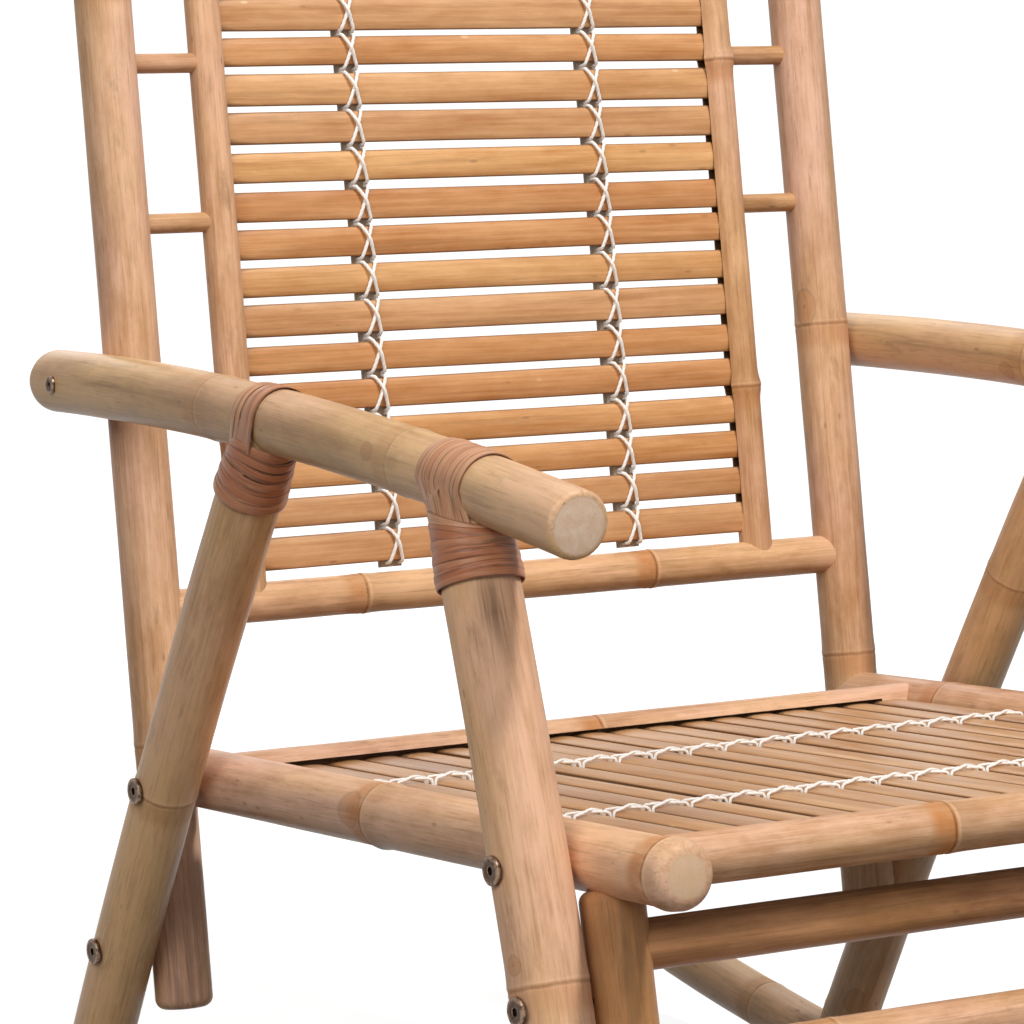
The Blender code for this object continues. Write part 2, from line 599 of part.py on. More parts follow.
def bolt(name, seat, inward, reach, head_diameter):
    """A socket head bolt: seat is the middle of the head's underside, and the shank runs inward."""
    head, shank, socket = head_diameter / 2, BOLT_SHANK_DIAMETER / 2, BOLT_SOCKET_DIAMETER / 2
    top, floor = BOLT_HEAD_HEIGHT, BOLT_HEAD_HEIGHT - BOLT_SOCKET_DEPTH
    profile = [
        (0, floor), (socket, floor), (socket, top), (head, top), (head, 0), (shank, 0), (shank, -reach), (0, -reach)]
    mesh = bpy.data.meshes.new(name)
    bm = bmesh.new()
    verts = [bm.verts.new((radius, 0, height)) for radius, height in profile]
    for a, b in zip(verts, verts[1:]):
        bm.edges.new((a, b))
    bm.to_mesh(mesh)
    bm.free()
    made = add_part(name, mesh, STEEL)
    made.location = seat
    made.rotation_euler = (-inward).to_track_quat("Z", "Y").to_euler()
    screw = made.modifiers.new("turn", "SCREW")
    screw.steps = BOLT_SIDES
    screw.render_steps = BOLT_SIDES
    screw.use_merge_vertices = True
    screw.merge_threshold = 1e-5
    return made


def add_bolt(name, side, outer, inner, spot, head_diameter=BOLT_HEAD_DIAMETER):
    """A bolt along X through one pole into the pole inside it, at (y, z), with its hole in both."""
    sign = SIDES[side]
    outer_x = abs(axes[outer, side][0].x) + DIAMETERS[outer] / 2 + GAP
    end_x = FRAME_HALF_WIDTH + DIAMETERS[inner] / 2 - BOLT_BITE
    seat = Vector((sign * outer_x, *spot))
    bolt(f"{name}_{side}", seat, -sign * X_AXIS, outer_x - end_x, head_diameter)
    hole_diameter = BOLT_SHANK_DIAMETER + 2 * GAP / math.cos(math.pi / BOLT_SIDES)
    mouth = seat + X_AXIS * sign * BOLT_HEAD_HEIGHT
    bottom = Vector((sign * (end_x - GAP), *spot))
    hole = add_cutter(f"{name} {side} hole", rod_mesh("bolt hole", mouth, bottom, hole_diameter))
    combine(poles[side][outer], "DIFFERENCE", hole)
    combine(poles[side][inner], "DIFFERENCE", hole)


def add_bolts(side):
    crossings = (
        ("arm_screw", "arm", "post", SCREW_HEAD_DIAMETER),
        ("post_bolt", "rear_leg", "post", BOLT_HEAD_DIAMETER),
        ("rear_seat_bolt", "rear_leg", "seat_rail", BOLT_HEAD_DIAMETER),
        ("front_seat_bolt", "front_leg", "seat_rail", BOLT_HEAD_DIAMETER))
    for name, outer, inner, head in crossings:
        add_bolt(name, side, outer, inner, side_crossing(axes[outer, side], axes[inner, side]), head)
    for place, down in FRONT_BOLTS.items():
        on_pole = front_point(0, down)
        on_leg = at_height(axes["front_leg", side], on_pole.z)
        add_bolt(f"front_frame_bolt_{place}", side, "front_leg", "front_pole", on_pole.lerp(on_leg, 0.5).yz)


def add_foot_dowels(side):
    """Dowels between the rocker and the feet of the legs, along the legs."""
    for kind in ("front_leg", "rear_leg"):
        path = axes[kind, side]
        up = (path[-2] - path[-1]).normalized()
        seat = path[-1] + up * ROCKER_DIAMETER / 2
        ends = (seat - up * DOWEL_BITE, seat + up * DOWEL_BITE)
        name = f"{kind.split('_')[0]}_foot_dowel_{side}"
        add_part(name, rod_mesh(name, *ends, DOWEL_DIAMETER), HARDWOOD)
        hole_diameter = DOWEL_DIAMETER + 2 * GAP / math.cos(math.pi / BOLT_SIDES)
        hole_mesh = rod_mesh("dowel hole", ends[0] - up * GAP, ends[1] + up * GAP, hole_diameter)
        hole = add_cutter(f"{name} hole", hole_mesh)
        combine(poles[side][kind], "DIFFERENCE", hole)
        combine(poles[side]["rocker"], "DIFFERENCE", hole)


def lashing(side, kind):
    """Rattan over the armrest in passes side by side, then round the top of the leg, as one strip."""
    outward = X_AXIS * SIDES[side]
    leg, arm = axes[kind, side], axes["arm", side]
    joint = Vector((leg[0].x, leg[0].y, arm_z(leg[0].y)))
    down = (leg[1] - leg[0]).normalized()
    slope = (arm_z(joint.y - STRIP_PITCH) - arm_z(joint.y + STRIP_PITCH)) / (2 * STRIP_PITCH)
    forward = Vector((0, -1, slope)).normalized()
    lean = abs(forward.cross(X_AXIS).normalized().dot(down))
    strip_radius = STRIP_DIAMETER / 2
    arm_radius, leg_radius = ARM_DIAMETER / 2, DIAMETERS[kind] / 2
    chord = math.cos(math.pi / STRIP_POINTS)  # keeps the middles of the chords clear as well
    over = (arm_radius + strip_radius + GAP) / chord / lean
    round_leg = (leg_radius + strip_radius + GAP) / chord
    beside_arm = (arm_radius + strip_radius + GAP) / chord + abs(arm[0].x - joint.x)
    bottom = arm_radius / lean + STRIP_DROP
    route = []
    for number in range(STRIP_PASSES):
        shift = (number - (STRIP_PASSES - 1) / 2) * STRIP_PITCH
        at = joint + forward * shift / lean
        drop = down * (bottom - (at - joint).dot(down))
        beside = max(beside_arm, math.sqrt(max(round_leg**2 - shift**2, 0)))
        bow = [at + outward * beside * math.cos(turn) - down * over * math.sin(turn)
               for turn in (2 * math.pi * step / STRIP_POINTS for step in range(STRIP_POINTS // 2 + 1))]
        one = [at + outward * beside + drop, *bow, at - outward * beside + drop]
        route += one if number % 2 == 0 else one[::-1]
    across = down.cross(outward)
    if across.dot(forward) < 0:
        across = -across
    first_turn = math.asin(min(shift / round_leg, 1))
    for step in range(STRIP_TURNS * STRIP_POINTS + 1):
        share = step / STRIP_POINTS
        turn = first_turn + 2 * math.pi * share
        centre = joint + down * (bottom + STRIP_PITCH * (1 + share))
        route.append(centre + round_leg * (outward * math.cos(turn) + across * math.sin(turn)))
    return wound(f"{kind.split('_')[0]}_lashing_{side}", route, STRIP_DIAMETER, RATTAN)


build_back()
build_seat()
build_front()
for side in SIDES:
    add_bolts(side)
    add_foot_dowels(side)
    for kind in ("front_leg", "rear_leg"):
        lashing(side, kind)
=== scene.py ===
import math
import random

import bmesh
import bpy
import numpy as np
from mathutils import Matrix, Vector, noise


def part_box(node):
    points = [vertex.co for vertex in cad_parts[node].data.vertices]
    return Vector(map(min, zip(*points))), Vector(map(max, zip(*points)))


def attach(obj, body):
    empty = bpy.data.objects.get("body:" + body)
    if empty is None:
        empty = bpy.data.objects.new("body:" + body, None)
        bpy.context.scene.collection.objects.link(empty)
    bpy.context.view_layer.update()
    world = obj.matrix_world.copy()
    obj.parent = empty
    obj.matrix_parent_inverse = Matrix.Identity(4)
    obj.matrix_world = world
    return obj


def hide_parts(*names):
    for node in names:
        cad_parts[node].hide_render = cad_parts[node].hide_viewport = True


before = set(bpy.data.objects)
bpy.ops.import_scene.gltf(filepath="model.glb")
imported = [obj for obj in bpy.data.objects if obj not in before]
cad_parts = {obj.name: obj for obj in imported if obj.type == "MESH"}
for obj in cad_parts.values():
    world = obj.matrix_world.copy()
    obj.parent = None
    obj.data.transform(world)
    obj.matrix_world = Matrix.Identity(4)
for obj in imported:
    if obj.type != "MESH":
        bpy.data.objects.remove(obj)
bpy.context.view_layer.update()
print("frame loaded:", len(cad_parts), "CAD nodes")

sideSign = {"left": 1, "right": -1}
xAxis = Vector((1, 0, 0))


# Shader helpers: a wave is an output of a node, and sums and products of waves are nodes too

class Wave:
    def __init__(self, tree, socket):
        self.tree = tree
        self.socket = socket

    def maths(self, operation, other=0.0, clamp=False):
        return put(self.tree, "ShaderNodeMath", {0: self, 1: other}, operation=operation, use_clamp=clamp)

    def __add__(self, other):
        return self.maths("ADD", other)

    def __sub__(self, other):
        return self.maths("SUBTRACT", other)

    def __mul__(self, other):
        return self.maths("MULTIPLY", other)

    def ease(self, low, high):
        return put(self.tree, "ShaderNodeMapRange", {"Value": self, "From Min": low, "From Max": high},
                   interpolation_type="SMOOTHSTEP")

    def bell(self, middle, width):  # 1 at the middle, 0 a width away
        return (self - middle).maths("ABSOLUTE").ease(width, width * 0.2)

    def stretched(self, scale):
        return put(self.tree, "ShaderNodeMapping", {"Vector": self, "Scale": scale})

    def grain(self, scale, detail=3.0, roughness=0.55):
        return put(self.tree, "ShaderNodeTexNoise", {
            "Vector": self.stretched(scale), "Scale": 1.0, "Detail": detail, "Roughness": roughness})

    def specks(self, scale, size, share):  # small elongated marks in some of the cells
        cells = addNode(self.tree, "ShaderNodeTexVoronoi", {
            "Vector": self.stretched(scale), "Scale": 1.0}).outputs
        lot = put(self.tree, "ShaderNodeSeparateColor", {0: Wave(self.tree, cells["Color"])})
        mark = Wave(self.tree, cells["Distance"]).ease(size, size * 0.4)
        return mark * lot.ease(1 - share, 1.02 - share)


def setInputs(made, inputs):
    for name, value in inputs.items():
        socket = made.inputs[name]
        if isinstance(value, Wave):
            value.tree.links.new(value.socket, socket)
        else:
            socket.default_value = (*value, 1) if socket.type == "RGBA" else value


def addNode(tree, kind, inputs, **settings):
    made = tree.nodes.new(kind)
    for name, value in settings.items():
        setattr(made, name, value)
    setInputs(made, inputs)
    return made


def put(tree, kind, inputs, output=0, **settings):
    return Wave(tree, addNode(tree, kind, inputs, **settings).outputs[output])


def attribute(tree, name, output="Fac"):
    return put(tree, "ShaderNodeAttribute", {}, output, attribute_name=name)


def mix(share, first, second, mode="MIX"):
    tree = next(item.tree for item in (share, first, second) if isinstance(item, Wave))
    return put(tree, "ShaderNodeMix", {0: share, 6: first, 7: second}, 2, data_type="RGBA", blend_type=mode)


def painted(skin, *coats):
    # a coat is where it lies, how much of it there is, and its colour
    for mark, weight, paint in coats:
        skin = mix(mark * weight, skin, paint)
    return skin


def bump(height, finish):
    return put(height.tree, "ShaderNodeBump", {
        "Height": height, "Strength": finish["relief"], "Distance": finish["depth"]})


def makeGroup(name, inputs):
    group = bpy.data.node_groups.new(name, "ShaderNodeTree")
    outputs = {"Color": "Color", "Roughness": "Float", "Height": "Float"}
    for way, sockets in (("INPUT", inputs), ("OUTPUT", outputs)):
        for socket, kind in sockets.items():
            group.interface.new_socket(socket, in_out=way, socket_type="NodeSocket" + kind)
    source = group.nodes.new("NodeGroupInput").outputs
    given = {socket: Wave(group, source[socket]) for socket in inputs}
    return group, given, group.nodes.new("NodeGroupOutput")


def newFinish(name):
    made = bpy.data.materials.new(name)
    made.use_nodes = True
    return made, made.node_tree, made.node_tree.nodes["Principled BSDF"]


# Skin of a bamboo pole: streaks along it, rings at its nodes, bud scars, and stains, some of them painted
# shade and painted shadow

def makeCulmSkin():
    group, given, result = makeGroup("culm skin", {
        "Spot": "Vector", "From Node": "Float", "Node Share": "Float", "From Bud": "Float", "Stain And Shade": "Float",
        "Tone": "Float", "Pale": "Color", "Deep": "Color", "Band": "Color"})
    spot, nodeShare, bud = given["Spot"], given["Node Share"], given["From Bud"]
    drift = spot.grain((16, 16, 4.5))
    blush = spot.grain((22, 22, 6), 2)
    streak = spot.grain((300, 300, 11), 4, 0.62)
    line = spot.grain((620, 620, 7), 2)
    fibre = spot.grain((1700, 1700, 30), 2)
    mottle = spot.grain((90, 90, 34), 5, 0.65)
    dash = spot.grain((560, 560, 30), 3, 0.6)
    smudge = spot.grain((64, 64, 19), 6, 0.68)
    flecks = spot.specks((110, 110, 42), 0.16, 0.22)
    scuffs = spot.specks((60, 60, 24), 0.12, 0.14)
    share = given["Tone"] + 0.62
    for wave, weight in ((drift, 1.5), (streak, 1.1), (mottle, 1.3), (fibre, 0.5)):
        share = share + (wave - 0.5) * weight
    skin = mix(share.maths("ADD", 0.0, True), given["Deep"], given["Pale"])
    rosy = mix(blush.ease(0.35, 0.65), (1, 0.97, 0.86), (1, 0.955, 1.0))
    skin = mix(1.0, skin, rosy, "MULTIPLY")
    # at a node: a warm band below it, a tinge above, a pale ridge that is a painted highlight, and a dark
    # line
    wobble = (mottle - 0.5) * 0.0022
    height = given["From Node"] + wobble
    below = height.ease(-0.021, -0.011) * height.ease(0.0015, -0.0005) * nodeShare
    above = height.ease(0.030, 0.003) * height.ease(0.0005, 0.0022) * nodeShare
    patchy = mottle.ease(0.32, 0.62) * 0.65 + 0.20
    ridge = height.bell(0.0008, 0.0016) * nodeShare
    ringLine = height.bell(-0.0016, 0.0013) * nodeShare * (mottle.ease(0.34, 0.58) * 0.5 + 0.35)
    budRim = (bud + wobble * 60.0).bell(0.96, 0.14)
    # the stain mask carries real stains and, on some poles, painted shade and painted shadow
    smearAndShade = given["Stain And Shade"] * streak.ease(0.30, 0.62)
    skin = painted(
        skin,
        (line.ease(0.60, 0.78), 0.27, (0.20, 0.11, 0.055)),
        (dash.ease(0.54, 0.70), 0.31, (0.27, 0.135, 0.06)),
        (smudge.ease(0.57, 0.72), 0.40, (0.24, 0.13, 0.065)),
        (flecks, 0.42, (0.17, 0.09, 0.045)),
        (scuffs, 0.35, (0.80, 0.62, 0.44)),
        (below * patchy, 0.95, given["Band"]),
        (above, 0.20, (0.30, 0.17, 0.085)),
        (ridge, 0.24, (0.78, 0.56, 0.36)),
        (ringLine, 0.72, (0.16, 0.075, 0.035)),
        (bud.ease(1.0, 0.78), 0.40, given["Band"]),
        (budRim, 0.28, (0.20, 0.10, 0.05)),
        (bud.ease(0.24, 0.08), 0.5, (0.15, 0.07, 0.035)),
        (smearAndShade, 0.8, (0.10, 0.052, 0.026)))
    setInputs(result, {
        "Color": skin, "Roughness": mottle * 0.30 + 0.26 + below * 0.14 + smearAndShade * 0.12,
        "Height": fibre * 0.30 + streak * 0.45 + mottle * 0.25 - flecks * 0.25 - ringLine * 0.6})
    return group


# Skin of a split slat: grain along it, one tone a slat, darker sawn edges, and painted shade in the gaps, on
# the underside and under the seat's rear rail

def makeSlatSkin():
    group, given, result = makeGroup("slat skin", {
        "Spot": "Vector", "Tone": "Float", "Edge And Gap Shade": "Float",
        "Warm": "Color", "Light": "Color", "Rosy": "Color"})
    spot, tone = given["Spot"], given["Tone"]
    drift = spot.grain((5, 60, 60))
    streak = spot.grain((9, 380, 380), 4, 0.62)
    line = spot.grain((5, 700, 700), 2)
    fibre = spot.grain((34, 1900, 1900), 2)
    mottle = spot.grain((34, 110, 110), 5, 0.65)
    flame = spot.grain((8, 120, 120), 5, 0.62)
    toned = mix(tone.ease(0.05, 0.55), given["Warm"], given["Light"])
    toned = mix(tone.ease(0.55, 0.95), toned, given["Rosy"])
    share = (drift - 0.5) * 1.3 + (streak - 0.5) + (mottle - 0.5) * 0.8 + (fibre - 0.5) * 0.4
    deeper = mix(1.0, toned, (0.60, 0.50, 0.42), "MULTIPLY")
    paler = mix(0.28, toned, (0.86, 0.66, 0.46))
    # the edge darkening is partly the sawn edges' colour and partly painted shade in the gaps between slats,
    # on the underside and under the rear rail
    edge = given["Edge And Gap Shade"].ease(0.88, 0.99) * 0.70
    skin = painted(
        mix(share.maths("ADD", 0.52, True), deeper, paler),
        (line.ease(0.60, 0.76), 0.24, (0.21, 0.10, 0.045)),
        (flame.ease(0.54, 0.72), 0.42, (0.30, 0.135, 0.045)),
        (spot.specks((38, 120, 120), 0.17, 0.20), 0.38, (0.16, 0.075, 0.035)),
        (spot.specks((30, 75, 75), 0.12, 0.10), 0.5, (0.82, 0.60, 0.36)),
        (edge, 1.0, (0.13, 0.055, 0.022)))
    setInputs(result, {"Color": skin, "Roughness": mottle * 0.26 + 0.24 + edge * 0.4,
                       "Height": fibre * 0.35 + streak * 0.45 + mottle * 0.20})
    return group


culmFinish = {
    "skin": makeCulmSkin(), "relief": 0.34, "depth": 0.0005,
    "layers": {"Spot": "poleSpot", "From Node": "fromNode", "Node Share": "nodeShare", "From Bud": "fromBud",
               "Stain And Shade": "stainAndShade", "Tone": "tone"},
    "paints": ("Pale", "Deep", "Band"),
    "colours": {
        "pale bamboo": ((0.77, 0.500, 0.345), (0.42, 0.215, 0.095), (0.50, 0.205, 0.07)),
        "tan bamboo": ((0.76, 0.480, 0.300), (0.41, 0.210, 0.088), (0.50, 0.205, 0.07)),
        "olive bamboo": ((0.70, 0.460, 0.265), (0.36, 0.195, 0.085), (0.42, 0.195, 0.075)),
        # shaded brown bamboo is a darker bamboo with painted shade, for the pieces under the seat
        "shaded brown bamboo": ((0.58, 0.305, 0.145), (0.27, 0.12, 0.048), (0.33, 0.13, 0.05)),
        # the slot walls' finish is painted shade inside the grooves
        "slot shade": ((0.13, 0.065, 0.03), (0.055, 0.026, 0.012), (0.06, 0.03, 0.012))},
    "shader": {"Specular IOR Level": 0.10}, "own": {"olive bamboo": {"Specular IOR Level": 0.20}},
}
slatFinish = {
    "skin": makeSlatSkin(), "relief": 0.28, "depth": 0.0004,
    "layers": {"Spot": "slatSpot", "Tone": "tone", "Edge And Gap Shade": "edge"},
    "paints": ("Warm", "Light", "Rosy"),
    "colours": {
        "back slat": ((0.62, 0.245, 0.046), (0.80, 0.41, 0.125), (0.66, 0.315, 0.105)),
        "seat slat": ((0.54, 0.255, 0.066), (0.63, 0.335, 0.130), (0.38, 0.195, 0.110))},
    "shader": {"Specular IOR Level": 0.40, "Coat Weight": 0.05, "Coat Roughness": 0.2},
    "own": {"seat slat": {"Specular IOR Level": 0.24}},
}


def skinMaterial(name, finish):
    made, tree, shader = newFinish(name)
    layers = {socket: attribute(tree, layer, "Vector" if socket == "Spot" else "Fac")
              for socket, layer in finish["layers"].items()}
    colours = dict(zip(finish["paints"], finish["colours"][name]))
    skin = addNode(tree, "ShaderNodeGroup", {**colours, **layers}, node_tree=finish["skin"])
    tint, rough, height = (Wave(tree, socket) for socket in skin.outputs)
    setInputs(shader, {"Base Color": tint, "Roughness": rough, "Normal": bump(height, finish),
                       **finish["shader"], **finish["own"].get(name, {})})
    return made


cutFinish = {"face": (0.68, 0.47, 0.325), "cloud": (0.74, 0.56, 0.42), "bundle": (0.40, 0.25, 0.15),
             "rim": (0.42, 0.25, 0.13), "worn": (0.63, 0.40, 0.225), "roughness": 0.62,
             "relief": 0.35, "depth": 0.0003}


def cutMaterial():
    made, tree, shader = newFinish("cut bamboo end")
    spot = attribute(tree, "poleSpot", "Vector")
    out = attribute(tree, "fromAxis")
    cloud = spot.grain((190, 190, 190), 4)
    dots = spot.specks((900, 900, 300), 0.34, 0.75)
    tint = mix(cloud.ease(0.35, 0.70), cutFinish["face"], cutFinish["cloud"])
    tint = mix(attribute(tree, "worn"), tint, mix(cloud, cutFinish["worn"], cutFinish["face"]))
    tint = painted(
        tint, (dots, 0.38, cutFinish["bundle"]), (out.ease(0.80, 0.99), 0.55, cutFinish["rim"]),
        ((out + cloud * 0.04).bell(0.80, 0.03), 0.15, cutFinish["bundle"]))
    setInputs(shader, {"Base Color": tint, "Roughness": cutFinish["roughness"],
                       "Normal": bump(cloud - dots * 0.6, cutFinish)})
    return made


rattanFinish = {"red": (0.42, 0.145, 0.065), "dull": (0.56, 0.29, 0.155), "groove": (0.12, 0.045, 0.022),
                "pale": (0.70, 0.44, 0.29), "relief": 0.45, "depth": 0.0004,
                "shader": {"Specular IOR Level": 0.22, "Coat Weight": 0.12, "Coat Roughness": 0.22}}


def rattanMaterial():
    made, tree, shader = newFinish("rattan strip")
    spot = attribute(tree, "stripSpot", "Vector")
    fibre = spot.grain((28, 1500, 1500))
    drift = spot.grain((26, 90, 90), 4)
    strand = spot.grain((22, 640, 640))
    groove = rattanFinish["groove"]
    tint = painted(
        mix(attribute(tree, "tone"), rattanFinish["red"], rattanFinish["dull"]),
        (strand.ease(0.52, 0.64), 0.68, groove), (drift.ease(0.50, 0.78), 0.5, rattanFinish["pale"]),
        (fibre.ease(0.48, 0.72), 0.45, groove), (attribute(tree, "edge").ease(0.70, 1.0), 0.7, groove))
    setInputs(shader, {"Base Color": tint, "Roughness": drift * 0.3 + 0.26,
                       "Normal": bump(fibre * 0.4 - strand, rattanFinish), **rattanFinish["shader"]})
    return made


laceFinish = {"cotton": (0.92, 0.90, 0.87), "plyShadeAndFuzz": (0.80, 0.74, 0.68), "soil": (0.78, 0.69, 0.59),
              "relief": 0.5, "depth": 0.0003, "shader": {"Roughness": 0.85, "Sheen Weight": 0.25}}


def laceMaterial():
    made, tree, shader = newFinish("cotton lace")
    spot = attribute(tree, "laceSpot", "Vector")
    fuzz = spot.grain((2200, 2200, 900))
    soiled = spot.grain((60, 60, 40)).ease(0.50, 0.80)
    tint = painted(
        # the darker colour between the twisted plies is painted shade; the fuzz uses the same colour
        mix(attribute(tree, "lobe").ease(0.55, 0.05), laceFinish["cotton"], laceFinish["plyShadeAndFuzz"]),
        (soiled, 0.5, laceFinish["soil"]), (fuzz.ease(0.55, 0.80), 0.25, laceFinish["plyShadeAndFuzz"]))
    setInputs(shader, {"Base Color": tint, "Normal": bump(fuzz, laceFinish), **laceFinish["shader"]})
    return made


battenFinish = {"dark": (0.22, 0.15, 0.10), "grey": (0.44, 0.34, 0.25), "brown": (0.40, 0.24, 0.12),
                "relief": 0.3, "depth": 0.0004}


def battenMaterial():
    made, tree, shader = newFinish("dark batten")
    spot = attribute(tree, "slatSpot", "Vector")
    fibre = spot.grain((20, 900, 900), 4)
    drift = spot.grain((12, 80, 80))
    tint = painted(mix(fibre, battenFinish["dark"], battenFinish["grey"]),
                   (drift.ease(0.45, 0.75), 0.4, battenFinish["brown"]))
    setInputs(shader, {"Base Color": tint, "Roughness": drift * 0.3 + 0.45,
                       "Normal": bump(fibre, battenFinish)})
    return made


steelFinish = {"bronze": (0.078, 0.042, 0.026), "dark": (0.045, 0.028, 0.02), "worn": (0.32, 0.215, 0.15),
               "relief": 0.12, "depth": 0.0002}


def steelMaterial():
    made, tree, shader = newFinish("bronzed steel")
    spot = put(tree, "ShaderNodeTexCoord", {}, "Object")
    cloud = spot.grain((380, 380, 380), 4)
    scratch = spot.grain((150, 2600, 700), 2)
    wear = attribute(tree, "edge").ease(0.35, 0.9) * cloud.ease(0.72, 0.40)
    tint = painted(mix(cloud.ease(0.40, 0.68), steelFinish["bronze"], steelFinish["dark"]),
                   (wear, 0.75, steelFinish["worn"]))
    setInputs(shader, {"Base Color": tint, "Metallic": 1.0, "Roughness": cloud * 0.24 + 0.24 + scratch * 0.12,
                       "Normal": bump(scratch, steelFinish)})
    return made


def dowelMaterial():
    made, tree, shader = newFinish("hardwood dowel")
    rings = put(tree, "ShaderNodeTexCoord", {}, "Object").grain((320, 320, 22), 4)
    setInputs(shader, {"Base Color": mix(rings, (0.44, 0.28, 0.15), (0.72, 0.54, 0.34)),
                       "Roughness": rings * 0.25 + 0.5})
    return made


finishes = {name: skinMaterial(name, finish)
            for finish in (culmFinish, slatFinish) for name in finish["colours"]}
finishes.update({"cut": cutMaterial(), "rattan": rattanMaterial(), "lace": laceMaterial(),
                 "batten": battenMaterial(), "steel": steelMaterial(), "dowel": dowelMaterial()})
print("finishes made:", len(finishes))


# Axes of the poles, read off the CAD solids by slicing them square to their length

traceRule = {"cuts": 15, "margin": 0.034, "mostMargin": 0.25, "weld": 1e-6, "cutWidth": 1e-7}


def traceAxis(nodeName, bends):
    solid = bmesh.new()
    solid.from_mesh(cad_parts[nodeName].data)
    bmesh.ops.remove_doubles(solid, verts=solid.verts, dist=traceRule["weld"])
    spots = np.array([vert.co[:] for vert in solid.verts])
    middle = Vector(spots.mean(axis=0))
    along = np.linalg.svd(spots - spots.mean(axis=0), full_matrices=False)[2][0]
    main = int(np.abs(along).argmax())
    # to the sitter's left, forwards or upwards
    along = Vector(along) * math.copysign(1, along[main] * (1, -1, 1)[main])
    across = Vector((0, 1, 0)) if main == 0 else xAxis
    across = (across - along * across.dot(along)).normalized()
    over = along.cross(across)
    reach = (spots - np.array(middle)) @ np.array(along)
    start, end = reach.min(), reach.max()
    margin = min(traceRule["margin"], traceRule["mostMargin"] * (end - start))
    rows = []
    for place in np.linspace(start + margin, end - margin, traceRule["cuts"]):
        cut = solid.copy()
        made = bmesh.ops.bisect_plane(
            cut, geom=cut.verts[:] + cut.edges[:] + cut.faces[:], dist=traceRule["cutWidth"],
            plane_co=middle + along * place, plane_no=along)
        ring = [item.co - middle for item in made["geom_cut"] if isinstance(item, bmesh.types.BMVert)]
        us = [spot.dot(across) for spot in ring]
        vs = [spot.dot(over) for spot in ring]
        half = max(max(us) - min(us), max(vs) - min(vs)) / 2
        rows.append((place, (min(us) + max(us)) / 2, (min(vs) + max(vs)) / 2, half))
        cut.free()
    solid.free()
    places, us, vs, radii = np.array(rows).T
    return {"middle": middle, "along": along, "across": across, "over": over, "start": start, "end": end,
            "u": np.polyfit(places, us, bends), "v": np.polyfit(places, vs, bends),
            "radius": float(np.median(radii))}


def axisPoint(axis, place):
    u, v = (float(np.polyval(axis[key], place)) for key in "uv")
    return axis["middle"] + axis["along"] * place + (axis["across"] * u + axis["over"] * v)


def axisDirection(axis, place, step=0.002):
    return (axisPoint(axis, place + step) - axisPoint(axis, place - step)).normalized()


def framed(origin, along, across, out):
    return Matrix.Translation(origin) @ Matrix((along, across, out)).transposed().to_4x4()


def ringPlace(axis, place):
    along = axisDirection(axis, place)
    across = (axis["across"] - along * axis["across"].dot(along)).normalized()
    return framed(axisPoint(axis, place), across, along.cross(across), along)


def nearestPlace(axis, point, spare=0.06):
    places = np.linspace(axis["start"] - spare, axis["end"] + spare, 400)
    return min(places, key=lambda place: (axisPoint(axis, place) - point).length)


# A grid wrapped into a tube: shape gives the outline of each ring in its place's own plane

def growTube(bm, sides, places, shape):
    last = len(places) - 1
    made = bmesh.ops.create_grid(bm, x_segments=last, y_segments=sides, size=1.0)["verts"]
    for vert in made:
        turn = math.pi * (vert.co.y + 1)
        vert.co = Vector((math.cos(turn), math.sin(turn), round((vert.co.x + 1) / 2 * last)))
    bmesh.ops.remove_doubles(bm, verts=made, dist=1e-4)  # closes the seam
    grown = {"rings": [{} for _ in places], "faces": [[] for _ in places], "ends": []}
    numbers = {}
    for vert in made:
        if vert.is_valid:
            numbers[vert] = round(vert.co.z)
            grown["rings"][numbers[vert]][vert] = math.atan2(vert.co.y, vert.co.x)
    for face in bm.faces:
        if face.verts[0] in numbers:
            grown["faces"][min(numbers[vert] for vert in face.verts)].append(face)
    for number in (0, last):
        ring = grown["rings"][number]
        grown["ends"].append([edge for edge in bm.edges if edge.verts[0] in ring and edge.verts[1] in ring])
    for number, place in enumerate(places):
        for vert, angle in grown["rings"][number].items():
            vert.co = place @ Vector((*shape(number, angle), 0))
    return grown


def closeEnds(bm, grown, finishNumber=0, point=False):
    for edges in grown["ends"]:
        caps = bmesh.ops.edgeloop_fill(bm, edges=edges, mat_nr=finishNumber, use_smooth=True)["faces"]
        if point:
            bmesh.ops.poke(bm, faces=caps)


def newMesh(spotName, *names):
    bm = bmesh.new()
    layers = {spotName: bm.verts.layers.float_vector.new(spotName)}
    layers.update({name: bm.verts.layers.float.new(name) for name in names})
    return bm, layers


def finishPiece(name, bm, materials, nodeNames, sharp=42):
    bmesh.ops.recalc_face_normals(bm, faces=bm.faces)
    mesh = bpy.data.meshes.new(name)
    bm.to_mesh(mesh)
    bm.free()
    for material in materials:
        mesh.materials.append(finishes[material])
    mesh.shade_smooth()
    mesh.set_sharp_from_angle(angle=math.radians(sharp))
    piece = bpy.data.objects.new(name, mesh)
    bpy.context.scene.collection.objects.link(piece)
    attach(piece, "root")
    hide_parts(*nodeNames)


# Bamboo poles: where each has its nodes, from its rear, right or lower end, and what its ends meet.
# A bud is place, angle, length and width; a stain has its strength as well, and some stains are painted shade
# and painted shadow

